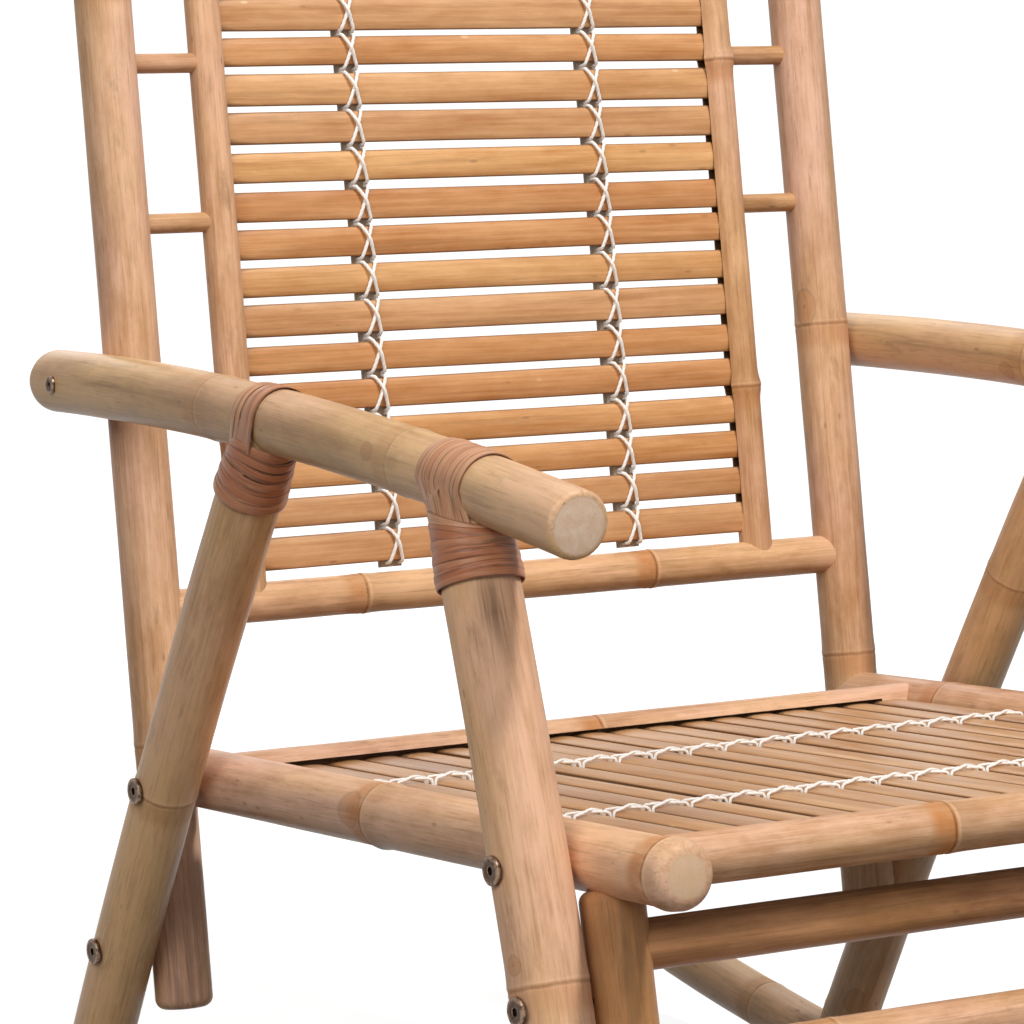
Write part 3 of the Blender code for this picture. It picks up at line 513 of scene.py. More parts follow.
poleMake = {
    "sides": 40, "step": 0.012, "seed": 11, "seedShift": (0.37, 0.61, 0.83), "uneven": 0.010, "sway": 0.00022,
    "swell": 0.0004, "swellLength": 0.0062,
    "ridge": (0.00013, 0.0008, 0.0012), "groove": (0.00028, -0.0016, 0.0011),
    "nearNode": (-0.018, -0.012, -0.008, -0.0055, -0.0038, -0.0028, -0.0021, -0.0014, -0.0007,
                 0, 0.0006, 0.0012, 0.002, 0.0032, 0.005, 0.008, 0.012, 0.018),
    "ring": 0.7, "ringReach": 0.045, "noNode": 0.3, "noBud": 9.0, "rimShare": 0.6,
    "dress": 0.006, "arcSteps": 6, "faceShares": (0.92, 0.78, 0.55, 0.28), "dome": 0.0007,
    "bite": 0.0008, "copeLeast": 0.35, "copeRoom": 0.003, "copeLip": 0.002, "underShare": 0.80,
    "slotDepth": 0.010, "slotMargin": (2, 3),
}

backEnds = ("back_post_right", "back_post_left")
seatEnds = ("seat_side_rail_right", "seat_side_rail_left")
poleRows = {
    "back_lower_rail": {"nodes": (0.140, 0.366), "ends": backEnds, "swell": 0.0006, "ring": 1.1,
                        "finish": "tan bamboo"},
    "back_top_rail": {"nodes": (0.20, 0.43), "ends": backEnds},
    "seat_front_rail": {"nodes": (0.1914, 0.425), "ends": seatEnds, "swell": 0.0003, "slot": (0, 23),
                        "ring": 1.2, "tone": -0.12},
    "seat_rear_rail": {"nodes": (0.2705,), "ends": seatEnds, "swell": 0.0001, "slot": (175.5, 28),
                       "ring": 1.0, "tone": 0.14},
}
for number, nodes in enumerate(((0.315, 0.505), (0.12, 0.355), (0.21, 0.44), (0.08, 0.305)), 1):
    poleRows[f"front_bar_{number}"] = {
        "nodes": nodes, "ends": ("front_pole_right", "front_pole_left"),
        "tone": -0.14, "finish": "tan bamboo"}
# the stain along the first bar's top is a painted shadow of the seat's front rail
poleRows["front_bar_1"].update({
    "tone": -0.06, "finish": "shaded brown bamboo", "stainsAndShade": ((0.27, 104, 0.60, 0.010, 1.0),)})
for side in sideSign:
    near = side == "right"
    poleRows[f"back_post_{side}"] = {
        "nodes": (0.170, 0.404, 0.662) if near else (0.1847, 0.4174, 0.700), "ends": ("free", "free"),
        "dress": (0.0065, 0.0065), "tone": 0.09, "ring": 0.55,
        "buds": () if near else ((0.4290, -160, 0.013, 0.0085),),
        # the near post's stain at its foot is painted shade under the seat
        "stainsAndShade": ((0.03, -125, 0.08, 0.030, 0.75),) if near else ()}
    poleRows[f"armrest_{side}"] = {
        "nodes": (0.2365, 0.468) if near else (0.240, 0.473), "ends": ("free", "free"), "bends": 2,
        "dress": (0.0115, 0.0032), "longer": 0.005, "taper": (1.06, 1.0) if near else (1.0, 1.0),
        "swell": 0.0005, "ring": 0.4, "tone": 0.14 if near else 0.40,
        "finish": "olive bamboo", "slotName": "smoked_pole",
        "buds": ((0.445, 168, 0.0065, 0.006),) if near else ((0.222, 205, 0.008, 0.007),),
        "stainsAndShade": ((0.06, 140, 0.03, 0.007, 0.5), (0.115, 165, 0.04, 0.0035, 0.75),
                   (0.40, 200, 0.05, 0.012, 0.4), (0.20, 172, 0.07, 0.006, 0.45),
                   (0.32, 178, 0.06, 0.005, 0.4), (0.565, 180, 0.02, 0.006, 0.5))}
    legEnds = (f"rocker_{side}", f"armrest_{side}")
    poleRows[f"rear_leg_{side}"] = {
        "nodes": (0.075, 0.3069) if near else (0.0251, 0.220, 0.4167), "ends": legEnds, "bends": 2,
        "narrow": (0.055, 0.88), "tone": 0.18, "ring": 0.6,
        "finish": "olive bamboo", "slotName": "smoked_pole",
        "buds": () if near else ((0.0481, -135, 0.011, 0.008),)}
    poleRows[f"front_leg_{side}"] = {
        "nodes": (0.016, 0.2405) if near else (0.120, 0.352), "ends": legEnds, "bends": 2,
        "narrow": (0.055, 0.86), "tone": 0.28, "ring": 0.6, "finish": "tan bamboo",
        "buds": ((0.2525, -170, 0.006, 0.0055),) if near else (),
        "stainsAndShade": ((0.442, -118, 0.020, 0.005, 1.0), (0.436, -100, 0.024, 0.004, 0.8),
                   (0.39, -140, 0.05, 0.004, 0.3)) if near else ((0.30, 60, 0.05, 0.006, 0.5),)}
    poleRows[f"rocker_{side}"] = {
        "nodes": (0.160, 0.392, 0.628, 0.865) if near else (0.130, 0.358, 0.590, 0.820),
        "ends": ("free", "free"), "bends": 2, "dress": (0.007, 0.007), "onFloor": True,
        "tone": 0.44, "finish": "olive bamboo"}
    poleRows[f"seat_side_rail_{side}"] = {
        "nodes": (0.030, 0.285, 0.588) if near else (0.110, 0.338, 0.562),
        "ends": (f"back_post_{side}", "free"), "dress": (0.006, 0.0072),
        "swell": 0.0011 if near else 0.0005, "worn": 1.0, "tone": 0.15, "ring": 0.9,
        "buds": ((0.2685, 166, 0.0125, 0.0115),) if near else (),
        "stainsAndShade": ((0.05, 165, 0.03, 0.010, 0.45), (0.24, 190, 0.03, 0.010, 0.35),
                   (0.2555, 160, 0.0035, 0.008, 0.55), (0.2690, 172, 0.0028, 0.006, 0.6),
                   (0.2890, 196, 0.010, 0.006, 0.4))}
    poleRows[f"front_pole_{side}"] = {
        "nodes": (0.105,) if near else (0.140,), "ends": ("free", "free"), "under": f"seat_side_rail_{side}",
        # the front poles' darker finish is partly painted shade under the seat, with a darker patch near the
        # top
        "dress": (0.006, 0.0065), "finish": "shaded brown bamboo", "stainsAndShade": ((0.25, -120, 0.035, 0.016, 0.8),)}
    poleRows[f"back_upright_{side}"] = {
        "nodes": (0.105, 0.440) if near else (0.1162, 0.345), "ends": ("back_lower_rail", "back_top_rail"),
        "swell": 0.0009 if near else 0.0016, "slot": (0 if near else 180, 23), "finish": "tan bamboo",
        "gully": (-112, 0.0010, 16) if near else (-150, 0.0006, 14)}
    pegEnds = (f"back_post_{side}", f"back_upright_{side}")
    for height in ("upper", "lower"):
        poleRows[f"back_peg_{height}_{side}"] = {
            "nodes": (), "ends": pegEnds if near else pegEnds[::-1], "tone": -0.16, "finish": "tan bamboo"}

axes = {name: traceAxis(name, row.get("bends", 1)) for name, row in poleRows.items()}
print("axes traced:", len(axes))


def turnBetween(first, second):
    return (first - second + math.pi) % (2 * math.pi) - math.pi


def narrowing(row, axis, place):
    # the top of a leg is cut down where its lashing goes round it
    long, least = row.get("narrow", (0.05, 1.0))
    share = min(max((place - axis["end"] + long) / long, 0), 1)
    return 1 - (1 - least) * share * share * (3 - 2 * share)


def culmRadius(row, axis, place, seed):
    radius = axis["radius"] * (1 + poleMake["uneven"] * noise.noise(Vector((place * 7, seed, 0.4))))
    first, last = row.get("taper", (1, 1))
    radius *= first + (last - first) * (place - axis["start"]) / (axis["end"] - axis["start"])
    radius *= narrowing(row, axis, place)
    ridge, ridgeAt, ridgeLength = poleMake["ridge"]
    groove, grooveAt, grooveLength = poleMake["groove"]
    for node in row["nodes"]:
        away = place - axis["start"] - node
        radius += row.get("swell", poleMake["swell"]) * math.exp(-(away / poleMake["swellLength"]) ** 2)
        radius += ridge * math.exp(-((away - ridgeAt) / ridgeLength) ** 2)
        radius -= groove * math.exp(-((away - grooveAt) / grooveLength) ** 2)
    return radius


def freeEnd(place, radius, dress, way):
    # rounded rim, then the cut face in rings towards the middle
    stations = []
    for step in range(1, poleMake["arcSteps"] + 1):
        turn = math.pi / 2 * step / poleMake["arcSteps"]
        stations.append((place + way * dress * (math.sin(turn) - 1),
                         radius - dress * (1 - math.cos(turn)), False))
    for share in poleMake["faceShares"]:
        stations.append((place + way * poleMake["dome"] * (1 - share ** 2), (radius - dress) * share, True))
    return stations


def meeting(axis, other, place):
    # where this pole's axis comes nearest to the other pole's
    for _ in range(4):
        there = nearestPlace(other, axisPoint(axis, place))
        place = nearestPlace(axis, axisPoint(other, there))
    return place, there


def cope(ring, direction, other, there):
    # the last ring is moved along the pole on to the other pole's side, as a saddle cut
    base, line = axisPoint(other, there), axisDirection(other, there)
    reach = other["radius"] - poleMake["bite"]
    for vert in ring:
        away = vert.co - base
        away -= line * away.dot(line)
        flat = direction - line * direction.dot(line)
        a, b, c = flat.dot(flat), 2 * away.dot(flat), away.dot(away) - reach ** 2
        inside = b * b - 4 * a * c
        move = -b / (2 * a) - (math.sqrt(inside) / (2 * a) if inside > 0 else 0)
        vert.co += direction * min(move, -b / (2 * a) - poleMake["copeLeast"] * reach)


def cutSlot(bm, grown, angle, half, axis):
    # faces between two angles are pushed in to make a groove
    middle = math.radians(angle)
    first, last = poleMake["slotMargin"]
    chosen = []
    for number in range(first, len(grown["rings"]) - last):
        rings = grown["rings"][number:number + 2]
        for face in grown["faces"][number]:
            turns = [turnBetween(ring[vert], middle) for ring in rings for vert in face.verts if vert in ring]
            if max(abs(turn) for turn in turns) < math.radians(half):
                chosen.append(face)
    made = bmesh.ops.extrude_face_region(bm, geom=chosen)["geom"]
    place = ringPlace(axis, (axis["start"] + axis["end"]) / 2)
    outward = place.to_3x3() @ Vector((math.cos(middle), math.sin(middle), 0))
    pushed = [item for item in made if isinstance(item, bmesh.types.BMVert)]
    for vert in pushed:
        along = vert.co - axisPoint(axis, (vert.co - axis["middle"]).dot(axis["along"]))
        vert.co += outward * (axis["radius"] - poleMake["slotDepth"] - along.dot(outward))
    for face in {face for vert in pushed for face in vert.link_faces}:
        # the groove walls take the dark third finish, painted shade
        face.material_index = 2
    bmesh.ops.delete(bm, geom=chosen, context="FACES")


def poleStations(row, axis, seed, dress):
    # each place along the pole, its radius and whether it lies on a cut face, and what the ends are coped to
    copes = {}
    tips = [axis["start"] - row.get("longer", 0), axis["end"]]
    if "under" in row:  # a rounded end that stands under another pole
        other = axes[row["under"]]
        tips[1] = meeting(axis, other, tips[1])[0] - poleMake["underShare"] * other["radius"]
    body = list(tips)
    for index, (kind, way) in enumerate(zip(row["ends"], (-1, 1))):
        if kind == "free":
            body[index] -= way * dress[index]
        else:
            other = axes[kind]
            place, there = meeting(axis, other, body[index])
            copes[index] = (other, there)
            room = other["radius"] + poleMake["copeLeast"] * axis["radius"] + poleMake["copeRoom"]
            body[index] = place - way * room
    count = max(3, round((body[1] - body[0]) / poleMake["step"]))
    places = set(np.linspace(body[0], body[1], count + 1))
    for node in row["nodes"]:
        near = [axis["start"] + node + offset for offset in poleMake["nearNode"]]
        places = {place for place in places if place in body or not near[0] < place < near[-1]}
        places |= {place for place in near if body[0] < place < body[1]}
    stations = [(place, culmRadius(row, axis, place, seed), False) for place in sorted(places)]
    lasts = []
    for index, way in ((0, -1), (1, 1)):
        place, radius, _ = stations[-index]
        if index in copes:
            lasts.append([(place + way * poleMake["copeLip"], radius, False)])
        else:
            lasts.append(freeEnd(tips[index], radius, dress[index], way))
    return lasts[0][::-1] + stations + lasts[1], copes


def markPole(row, axis, seed, dress, stations, rings, layers):
    # what the finish needs to know at every point
    def around(angle, turn, radius):
        return turnBetween(angle, math.radians(turn)) * radius

    for (place, radius, _), ring in zip(stations, rings):
        at = place - axis["start"]
        fromNode = min((at - node for node in row["nodes"]), key=abs, default=poleMake["noNode"])
        share = row.get("ring", poleMake["ring"]) if abs(fromNode) < poleMake["ringReach"] else 0.0
        fromAxis = radius / (axis["radius"] - dress[place > 0] * poleMake["rimShare"])
        for vert, angle in ring.items():
            spot = (radius * math.cos(angle), radius * math.sin(angle), place)
            spot = [value + shift * seed for value, shift in zip(spot, poleMake["seedShift"])]
            fromBud = min([poleMake["noBud"]] + [
                math.hypot((at - middle) / long, around(angle, turn, radius) / wide)
                for middle, turn, long, wide in row.get("buds", ())])
            stainAndShade = sum(
                strength * math.exp(-((at - middle) / long) ** 2 - (around(angle, turn, radius) / wide) ** 2)
                for middle, turn, long, wide, strength in row.get("stainsAndShade", ()))
            marks = {"poleSpot": Vector(spot), "fromNode": fromNode, "nodeShare": share, "fromBud": fromBud,
                     "stainAndShade": stainAndShade, "fromAxis": fromAxis,
                     "tone": row.get("tone", 0.0), "worn": row.get("worn", 0.0)}
            for key, value in marks.items():
                vert[layers[key]] = value


def bambooPole(name, row, seed):
    axis = axes[name]
    dress = row.get("dress", (poleMake["dress"],) * 2)
    stations, copes = poleStations(row, axis, seed, dress)
    bm, layers = newMesh("poleSpot", "fromNode", "nodeShare", "fromBud", "stainAndShade", "tone", "fromAxis", "worn")
    gullyAt, gullyDepth, gullyWidth = row.get("gully", (0, 0, 1))

    def shape(number, angle):
        place, radius, onFace = stations[number]
        if not onFace:
            radius += poleMake["sway"] * noise.noise(
                Vector((1.4 * math.cos(angle), 1.4 * math.sin(angle), place * 16 + seed)))
        turn = math.degrees(turnBetween(angle, math.radians(gullyAt)))
        radius -= gullyDepth * math.exp(-(turn / gullyWidth) ** 2)
        return radius * math.cos(angle), radius * math.sin(angle)

    grown = growTube(bm, poleMake["sides"], [ringPlace(axis, place) for place, *_ in stations], shape)
    markPole(row, axis, seed, dress, stations, grown["rings"], layers)
    for index, (other, there) in copes.items():
        direction = axisDirection(axis, stations[-index][0]) * (1 if index else -1)
        cope(grown["rings"][-index], direction, other, there)
    for number, faces in enumerate(grown["faces"][:-1]):
        if stations[number][2] or stations[number + 1][2]:
            for face in faces:
                face.material_index = 1
    closeEnds(bm, grown, 1, point=True)
    if "slot" in row:
        cutSlot(bm, grown, *row["slot"], axis)
    if row.get("onFloor"):
        for vert in bm.verts:
            vert.co.z = max(vert.co.z, 0.0)
    finish = row.get("finish", "pale bamboo")
    finishPiece(f"bamboo_{name}", bm, (finish, "cut", "slot shade"), (name,))


for seed, (name, row) in enumerate(poleRows.items(), poleMake["seed"]):
    bambooPole(name, row, seed)
print("poles made:", len(poleRows))


# Planes of the back and the seat, from the rails' axes

def middleOf(name):
    return axisPoint(axes[name], nearestPlace(axes[name], Vector((0, *axes[name]["middle"].yz)), 0))


backFoot, backHead = middleOf("back_lower_rail"), middleOf("back_top_rail")
backHeight = (backHead - backFoot).length
backUp = (backHead - backFoot) / backHeight
backOut = xAxis.cross(backUp)
seatRail = axes["seat_side_rail_right"]
seatForward = seatRail["along"]
seatUp = seatForward.cross(xAxis)
railFoot = axisPoint(seatRail, seatRail["start"])
rearRailAhead = (middleOf("seat_rear_rail") - railFoot).dot(seatForward)
seatRear = Vector((0, *(railFoot + seatForward * rearRailAhead).yz))
seatDepth = (middleOf("seat_front_rail") - seatRear).dot(seatForward)
seatHalf = abs(railFoot.x) - seatRail["radius"]


def backPoint(x, up, out=0.0):
    return backFoot + xAxis * x + backUp * up + backOut * out


def seatPoint(x, ahead, above=0.0):
    return seatRear + xAxis * x + seatForward * ahead + seatUp * above


# Split slats, crowned on their outer side, and the battens behind them

slatMake = {"sides": 20, "stations": 14, "thickness": 0.006, "seed": 5, "lean": 1.5, "darkEdge": 0.003,
            "unevenWidth": 0.025, "unevenThickness": 0.04}
backMat = {"count": 22, "crown": 0.0019, "pitch": 0.0253, "width": 0.0205, "widthSpread": 0.0014,
           "shift": 0.0008, "bow": 0.0007, "end": 0.1955, "laceX": 0.094, "laceShift": 0.0052,
           "laceLean": -0.0115, "seed": 20, "battenSeed": 60, "battenInset": 0.016}
seatMat = {"count": 19, "crown": 0.0007, "width": 0.0229, "widthSpread": 0.0014,
           # dark is how long each seat slat's rear end is painted as shade under the rear rail
           "shift": 0.0006, "bow": 0.0006, "top": 0.008, "dark": 0.0085, "rearTuck": 0.004,
           "frontTuck": 0.0055, "laceAhead": (0.140, 0.342), "skew": 0.14, "dip": 0.0018, "dipSpread": 0.0008,
           "seed": 100, "battenSeed": 160, "battenTuck": 0.004}
battenMake = {"width": 0.016, "thickness": 0.007, "bite": 0.0005, "crown": 0.001, "tone": 0.5, "bow": 0.0008}


def slatOutline(angle, width, thickness, crown):
    across = math.copysign(abs(math.cos(angle)) ** 0.42, math.cos(angle))
    rise = math.sin(angle)
    if rise > 0:
        side = thickness / 2 - crown
        height = thickness / 2 - crown * across ** 2 - side * (1 - min(1, abs(rise) ** 0.45))
    else:
        height = -thickness / 2 * min(1, abs(rise) ** 0.32)
    return across * width / 2, height


def addSlat(bm, layers, place, length, width, thickness, crown, tone, bow, seed, dark=0.0):
    # a strip along its own X, its outer side up its own Z
    along = [length * (step / (slatMake["stations"] - 1) - 0.5) for step in range(slatMake["stations"])]
    along[1:1] = [along[0] + dark, along[0] + dark + slatMake["darkEdge"]] if dark else []
    ringTurn = Matrix(((0, 0, 1, 0), (1, 0, 0, 0), (0, 1, 0, 0), (0, 0, 0, 1)))
    bows = [bow * math.sin(3.1 * x / length + seed) for x in along]
    places = [place @ Matrix.Translation((x, y, 0)) @ ringTurn for x, y in zip(along, bows)]

    def shape(number, angle):
        x = along[number]
        wide = 1 + slatMake["unevenWidth"] * noise.noise(Vector((x * 9, seed * 3.7, 0.2)))
        thick = 1 + slatMake["unevenThickness"] * noise.noise(Vector((x * 11, seed * 1.9, 4.2)))
        return slatOutline(angle, width * wide, thickness * thick, crown)

    grown = growTube(bm, slatMake["sides"], places, shape)
    for number, (x, ring) in enumerate(zip(along, grown["rings"])):
        for vert, angle in ring.items():
            across, height = shape(number, angle)
            vert[layers["slatSpot"]] = Vector((x + 1.3 * seed, across + 0.7 * seed, height + 0.9 * seed))
            vert[layers["tone"]] = tone
            # edge is 1 on the underside and on a seat slat's rear end under the rear rail, where it paints
            # shade
            onEdge = math.sin(angle) < -0.2 or x < along[0] + dark + 0.001
            vert[layers["edge"]] = 1.0 if onEdge else abs(2 * across / width)
    closeEnds(bm, grown)


def spread(lots, most):
    return lots.uniform(-1, 1) * most


def turned(degrees, axis):
    return Matrix.Rotation(math.radians(degrees), 4, axis)


def buildBattens(name, places, length, firstSeed):
    bm, layers = newMesh("slatSpot", "tone", "edge")
    for seed, place in enumerate(places, firstSeed):
        addSlat(bm, layers, place, length, battenMake["width"], battenMake["thickness"], battenMake["crown"],
                battenMake["tone"], battenMake["bow"], seed)
    finishPiece(name, bm, ("batten",), ())


def buildBackMat():
    lots = random.Random(slatMake["seed"])
    bm, layers = newMesh("slatSpot", "tone", "edge")
    firstUp = (backHeight - backMat["count"] * backMat["pitch"]) / 2
    for number in range(backMat["count"]):
        up = firstUp + backMat["pitch"] * (number + 0.5) + spread(lots, backMat["shift"])
        width = backMat["width"] + spread(lots, backMat["widthSpread"])
        place = framed(backPoint(0, up), xAxis, backUp, backOut) @ turned(spread(lots, slatMake["lean"]), "X")
        addSlat(bm, layers, place, 2 * backMat["end"], width, slatMake["thickness"], backMat["crown"],
                lots.random(), spread(lots, backMat["bow"]), backMat["seed"] + number)
    finishPiece("back_slats_split", bm, ("back slat",), ("back_slats",))
    behind = slatMake["thickness"] / 2 + battenMake["thickness"] / 2 - battenMake["bite"]
    leaned = (backUp + xAxis * backMat["laceLean"]).normalized()
    shift = backMat["laceShift"] + backMat["laceLean"] * backHeight / 2
    places = []
    for sign in sideSign.values():
        middle = backPoint(sign * backMat["laceX"] + shift, backHeight / 2, -behind)
        places.append(framed(middle, leaned, backOut.cross(leaned), backOut))
    buildBattens("back_battens", places, backHeight - 2 * backMat["battenInset"], backMat["battenSeed"])
    return firstUp


def buildSeatMat():
    lots = random.Random(slatMake["seed"] + 1)
    bm, layers = newMesh("slatSpot", "tone", "edge")
    pitch = 2 * seatHalf / seatMat["count"]
    length = seatDepth - seatMat["rearTuck"] - seatMat["frontTuck"]
    middleAhead = seatMat["rearTuck"] + length / 2
    above = seatMat["top"] - slatMake["thickness"] / 2
    for number in range(seatMat["count"]):
        x = -seatHalf + pitch * (number + 0.5) + spread(lots, seatMat["shift"])
        width = seatMat["width"] + spread(lots, seatMat["widthSpread"])
        lean = turned(spread(lots, slatMake["lean"]), "X") @ turned(spread(lots, seatMat["skew"]), "Z")
        # how far the rear end lies lower
        dip = seatMat["dip"] * (0.5 - x / (2 * seatHalf)) + seatMat["dipSpread"] * lots.random()
        lean = lean @ Matrix.Rotation(-dip / length, 4, "Y")
        place = framed(seatPoint(x, middleAhead, above - dip / 2), seatForward, -xAxis, seatUp) @ lean
        addSlat(bm, layers, place, length, width, slatMake["thickness"], seatMat["crown"], lots.random(),
                spread(lots, seatMat["bow"]), seatMat["seed"] + number, seatMat["dark"])
    finishPiece("seat_slats_split", bm, ("seat slat",), ("seat_slats",))
    below = above - slatMake["thickness"] / 2 - battenMake["thickness"] / 2 + battenMake["bite"]
    places = [framed(seatPoint(0, ahead, below), xAxis, seatForward, seatUp)
              for ahead in seatMat["laceAhead"]]
    buildBattens("seat_battens", places, 2 * (seatHalf + seatMat["battenTuck"]), seatMat["battenSeed"])
    return pitch


backFirst = buildBackMat()
seatPitch = buildSeatMat()
print("slat mats made:", backMat["count"], "and", seatMat["count"], "slats")


# Lace that crosses itself over every slat, along each batten and back

laceMake = {"backRadius": 0.00120, "seatRadius": 0.00092, "sides": 8, "step": 0.0018, "twist": 0.0075,
            "lobes": 0.12, "clear": 0.0002, "cross": 0.62, "apart": 0.9,
            "backHooks": (0.5, 1.0), "seatHooks": (0.6, 0.6),
            "overShares": (0.0, 0.06, 0.15, 0.3, 0.5, 0.7, 0.88, 1.0), "liftAt": 0.42, "liftLength": 0.18}


def rounded(points, times=2):
    for _ in range(times):
        cut = [points[0]]
        for a, b in zip(points, points[1:]):
            cut += [a.lerp(b, 0.25), a.lerp(b, 0.75)]
        points = cut + [points[-1]]
    return points


def resampled(points, step):
    spots = np.array([point[:] for point in points])
    run = np.concatenate([[0], np.cumsum(np.linalg.norm(np.diff(spots, axis=0), axis=1))])
    places = np.linspace(0, run[-1], max(2, round(run[-1] / step)) + 1)
    return [Vector(row) for row in np.stack([np.interp(places, run, spots[:, k]) for k in range(3)], axis=1)]


def directionsOf(points):
    last = len(points) - 1
    return [(points[min(k + 1, last)] - points[max(k - 1, 0)]).normalized() for k in range(last + 1)]


def pathPlaces(points):
    # a frame at every point, carried along without twist
    directions = directionsOf(points)
    side = directions[0].orthogonal().normalized()
    places = []
    for point, direction in zip(points, directions):
        side = (side - direction * side.dot(direction)).normalized()
        places.append(framed(point, side, direction.cross(side), direction))
    return places


def laceRoute(place, first, pitch, count, crown, radius, hooks):
    # place gives a point so far from slat to slat, across the batten and out from the slats' middle
    beside = battenMake["width"] / 2 * laceMake["cross"]  # laced through the batten, not round it
    apart = radius * laceMake["apart"]
    rim = slatMake["thickness"] / 2 - crown * 0.9 + radius
    crest = slatMake["thickness"] / 2 + radius + laceMake["clear"]
    under = slatMake["thickness"] / 2 - battenMake["bite"] + battenMake["thickness"] + radius
    under = -(under + laceMake["clear"])
    layer = 2 * radius
    gaps = [first + pitch * step for step in range(count + 1)]

    def over(near, far, lift, hook):
        # from one edge of a slat to the other, crossing the batten and hugging the crown
        route = []
        for share in laceMake["overShares"]:
            bulge = 4 * share * (1 - share)
            lifted = lift * math.exp(-((share - laceMake["liftAt"]) / laceMake["liftLength"]) ** 2)
            sideways = (2 * share ** hook - 1) * beside
            route.append(place(near + (far - near) * share, sideways, rim + (crest - rim) * bulge + lifted))
        return route

    route = [place(gaps[0] + apart, -beside, under)]
    for near, far in zip(gaps, gaps[1:]):
        route += over(near + apart, far - apart, 0, 1.0)
        if far != gaps[-1]:
            route += [place(far - apart, beside, under), place(far + apart, -beside, under)]
    last = gaps[-1] - apart
    route += [place(last, beside, under), place(last, -beside, under)]
    for near, far in zip(gaps[::-1], gaps[-2::-1]):
        share = (far - gaps[0]) / (gaps[-1] - gaps[0])
        route += over(near - apart, far + apart, layer, hooks[0] + (hooks[1] - hooks[0]) * share)
        if far != gaps[0]:
            route += [place(far + apart, beside, under - layer), place(far - apart, -beside, under - layer)]
    route.append(place(gaps[0] + apart, beside, under))
    return route


def buildLace(nodeName, route, size, seed):
    points = resampled(rounded(route), laceMake["step"])
    print(f"{nodeName}: {(len(points) - 1) * laceMake['step']:.2f} m of lace")
    bm, layers = newMesh("laceSpot", "lobe")
    turnStep = 2 * math.pi * laceMake["step"] / laceMake["twist"]

    def lobe(number, angle):
        return math.cos(2 * (angle - number * turnStep))

    def shape(number, angle):
        radius = size * (1 + laceMake["lobes"] * lobe(number, angle))
        return radius * math.cos(angle), radius * math.sin(angle)

    grown = growTube(bm, laceMake["sides"], pathPlaces(points), shape)
    for number, ring in enumerate(grown["rings"]):
        for vert, angle in ring.items():
            vert[layers["lobe"]] = 0.5 + 0.5 * lobe(number, angle)
            vert[layers["laceSpot"]] = Vector((
                size * math.cos(angle) + seed, size * math.sin(angle), number * laceMake["step"]))
    closeEnds(bm, grown)
    finishPiece(f"cotton_{nodeName}", bm, ("lace",), (nodeName,), sharp=80)


for seed, (side, sign) in enumerate(sideSign.items(), 3):
    def onBack(along, across, out):
        x = sign * backMat["laceX"] + backMat["laceShift"] + backMat["laceLean"] * along
        return backPoint(x + across, along, out)

    route = laceRoute(onBack, backFirst, backMat["pitch"], backMat["count"], backMat["crown"],
                      laceMake["backRadius"], laceMake["backHooks"])
    buildLace(f"back_lacing_{side}", route, laceMake["backRadius"], seed)
for seed, (end, ahead) in enumerate(zip(("rear", "front"), seatMat["laceAhead"]), 5):
    def onSeat(along, across, out):
        return seatPoint(along, ahead + across, seatMat["top"] - slatMake["thickness"] / 2 + out)

    route = laceRoute(onSeat, -seatHalf, seatPitch, seatMat["count"], seatMat["crown"],
                      laceMake["seatRadius"], laceMake["seatHooks"])
    buildLace(f"seat_lacing_{end}", route, laceMake["seatRadius"], seed)
print("lacings made: 4")


# Rattan strips over the armrests and round the tops of the legs. A pass is its place and its width

lashMake = {
    "thickness": 0.0015, "step": 0.0022, "sides": 12, "lift": 0.0002, "seed": 21, "uneven": 0.10,
    "passShift": 0.0004, "slant": 0.0008, "layer": 0.0003, "passSteps": 12, "passTurn": 7.3,
    "footSpread": 0.0006, "from": 3.9, "knee": -0.002, "tail": (0.002, 0.006, 0.010),
    "tailShares": tuple(np.linspace(0.1, 1, 10)),
    "overlap": 1.1, "turnsFrom": 0.0022, "turnLayer": 0.0011, "levelTurns": 4, "riseTurns": 6,
    "front_leg": {"passes": tuple((0.0046 * k + 0.0015, 0.0064) for k in range(-4, 5)), "turns": 9,
                  "turnPitch": 0.0038, "turnWidth": 0.0056, "topTone": 0.95, "topWidth": 0.0088,
                  "top": -0.0005, "rise": 0.004, "spread": 0.75, "ahead": 0.003},
    "rear_leg": {"passes": ((-0.0095, 0.0054), (-0.0052, 0.0058), (0.0046, 0.0150)), "turns": 8,
                 "turnPitch": 0.0039, "turnWidth": 0.0058, "topTone": 0.30, "topWidth": 0.0084,
                 "top": -0.0042, "rise": 0.0075, "spread": 0.8, "ahead": 0.002},
}


def addStrip(bm, layers, points, normals, width, tone, seed):
    places = []
    for point, normal, along in zip(points, normals, directionsOf(points)):
        out = (normal - along * normal.dot(along)).normalized()
        places.append(framed(point, out.cross(along), out, along))

    def shape(number, angle):
        wide = width * (1 + lashMake["uneven"] * noise.noise(Vector((number * 0.09, seed, 2.0))))
        across = math.copysign(abs(math.cos(angle)) ** 0.7, math.cos(angle))
        rise = math.copysign(abs(math.sin(angle)) ** 0.8, math.sin(angle))
        crowned = rise * (1 - 0.35 * across ** 2) if rise > 0 else rise
        return across * wide / 2, crowned * lashMake["thickness"] / 2

    grown = growTube(bm, lashMake["sides"], places, shape)
    for number, ring in enumerate(grown["rings"]):
        for vert, angle in ring.items():
            across, height = shape(number, angle)
            along = number * lashMake["step"] + seed
            vert[layers["stripSpot"]] = Vector((along, across + seed * 0.3, height))
            vert[layers["tone"]] = tone
            vert[layers["edge"]] = abs(2 * across / width)
    closeEnds(bm, grown)


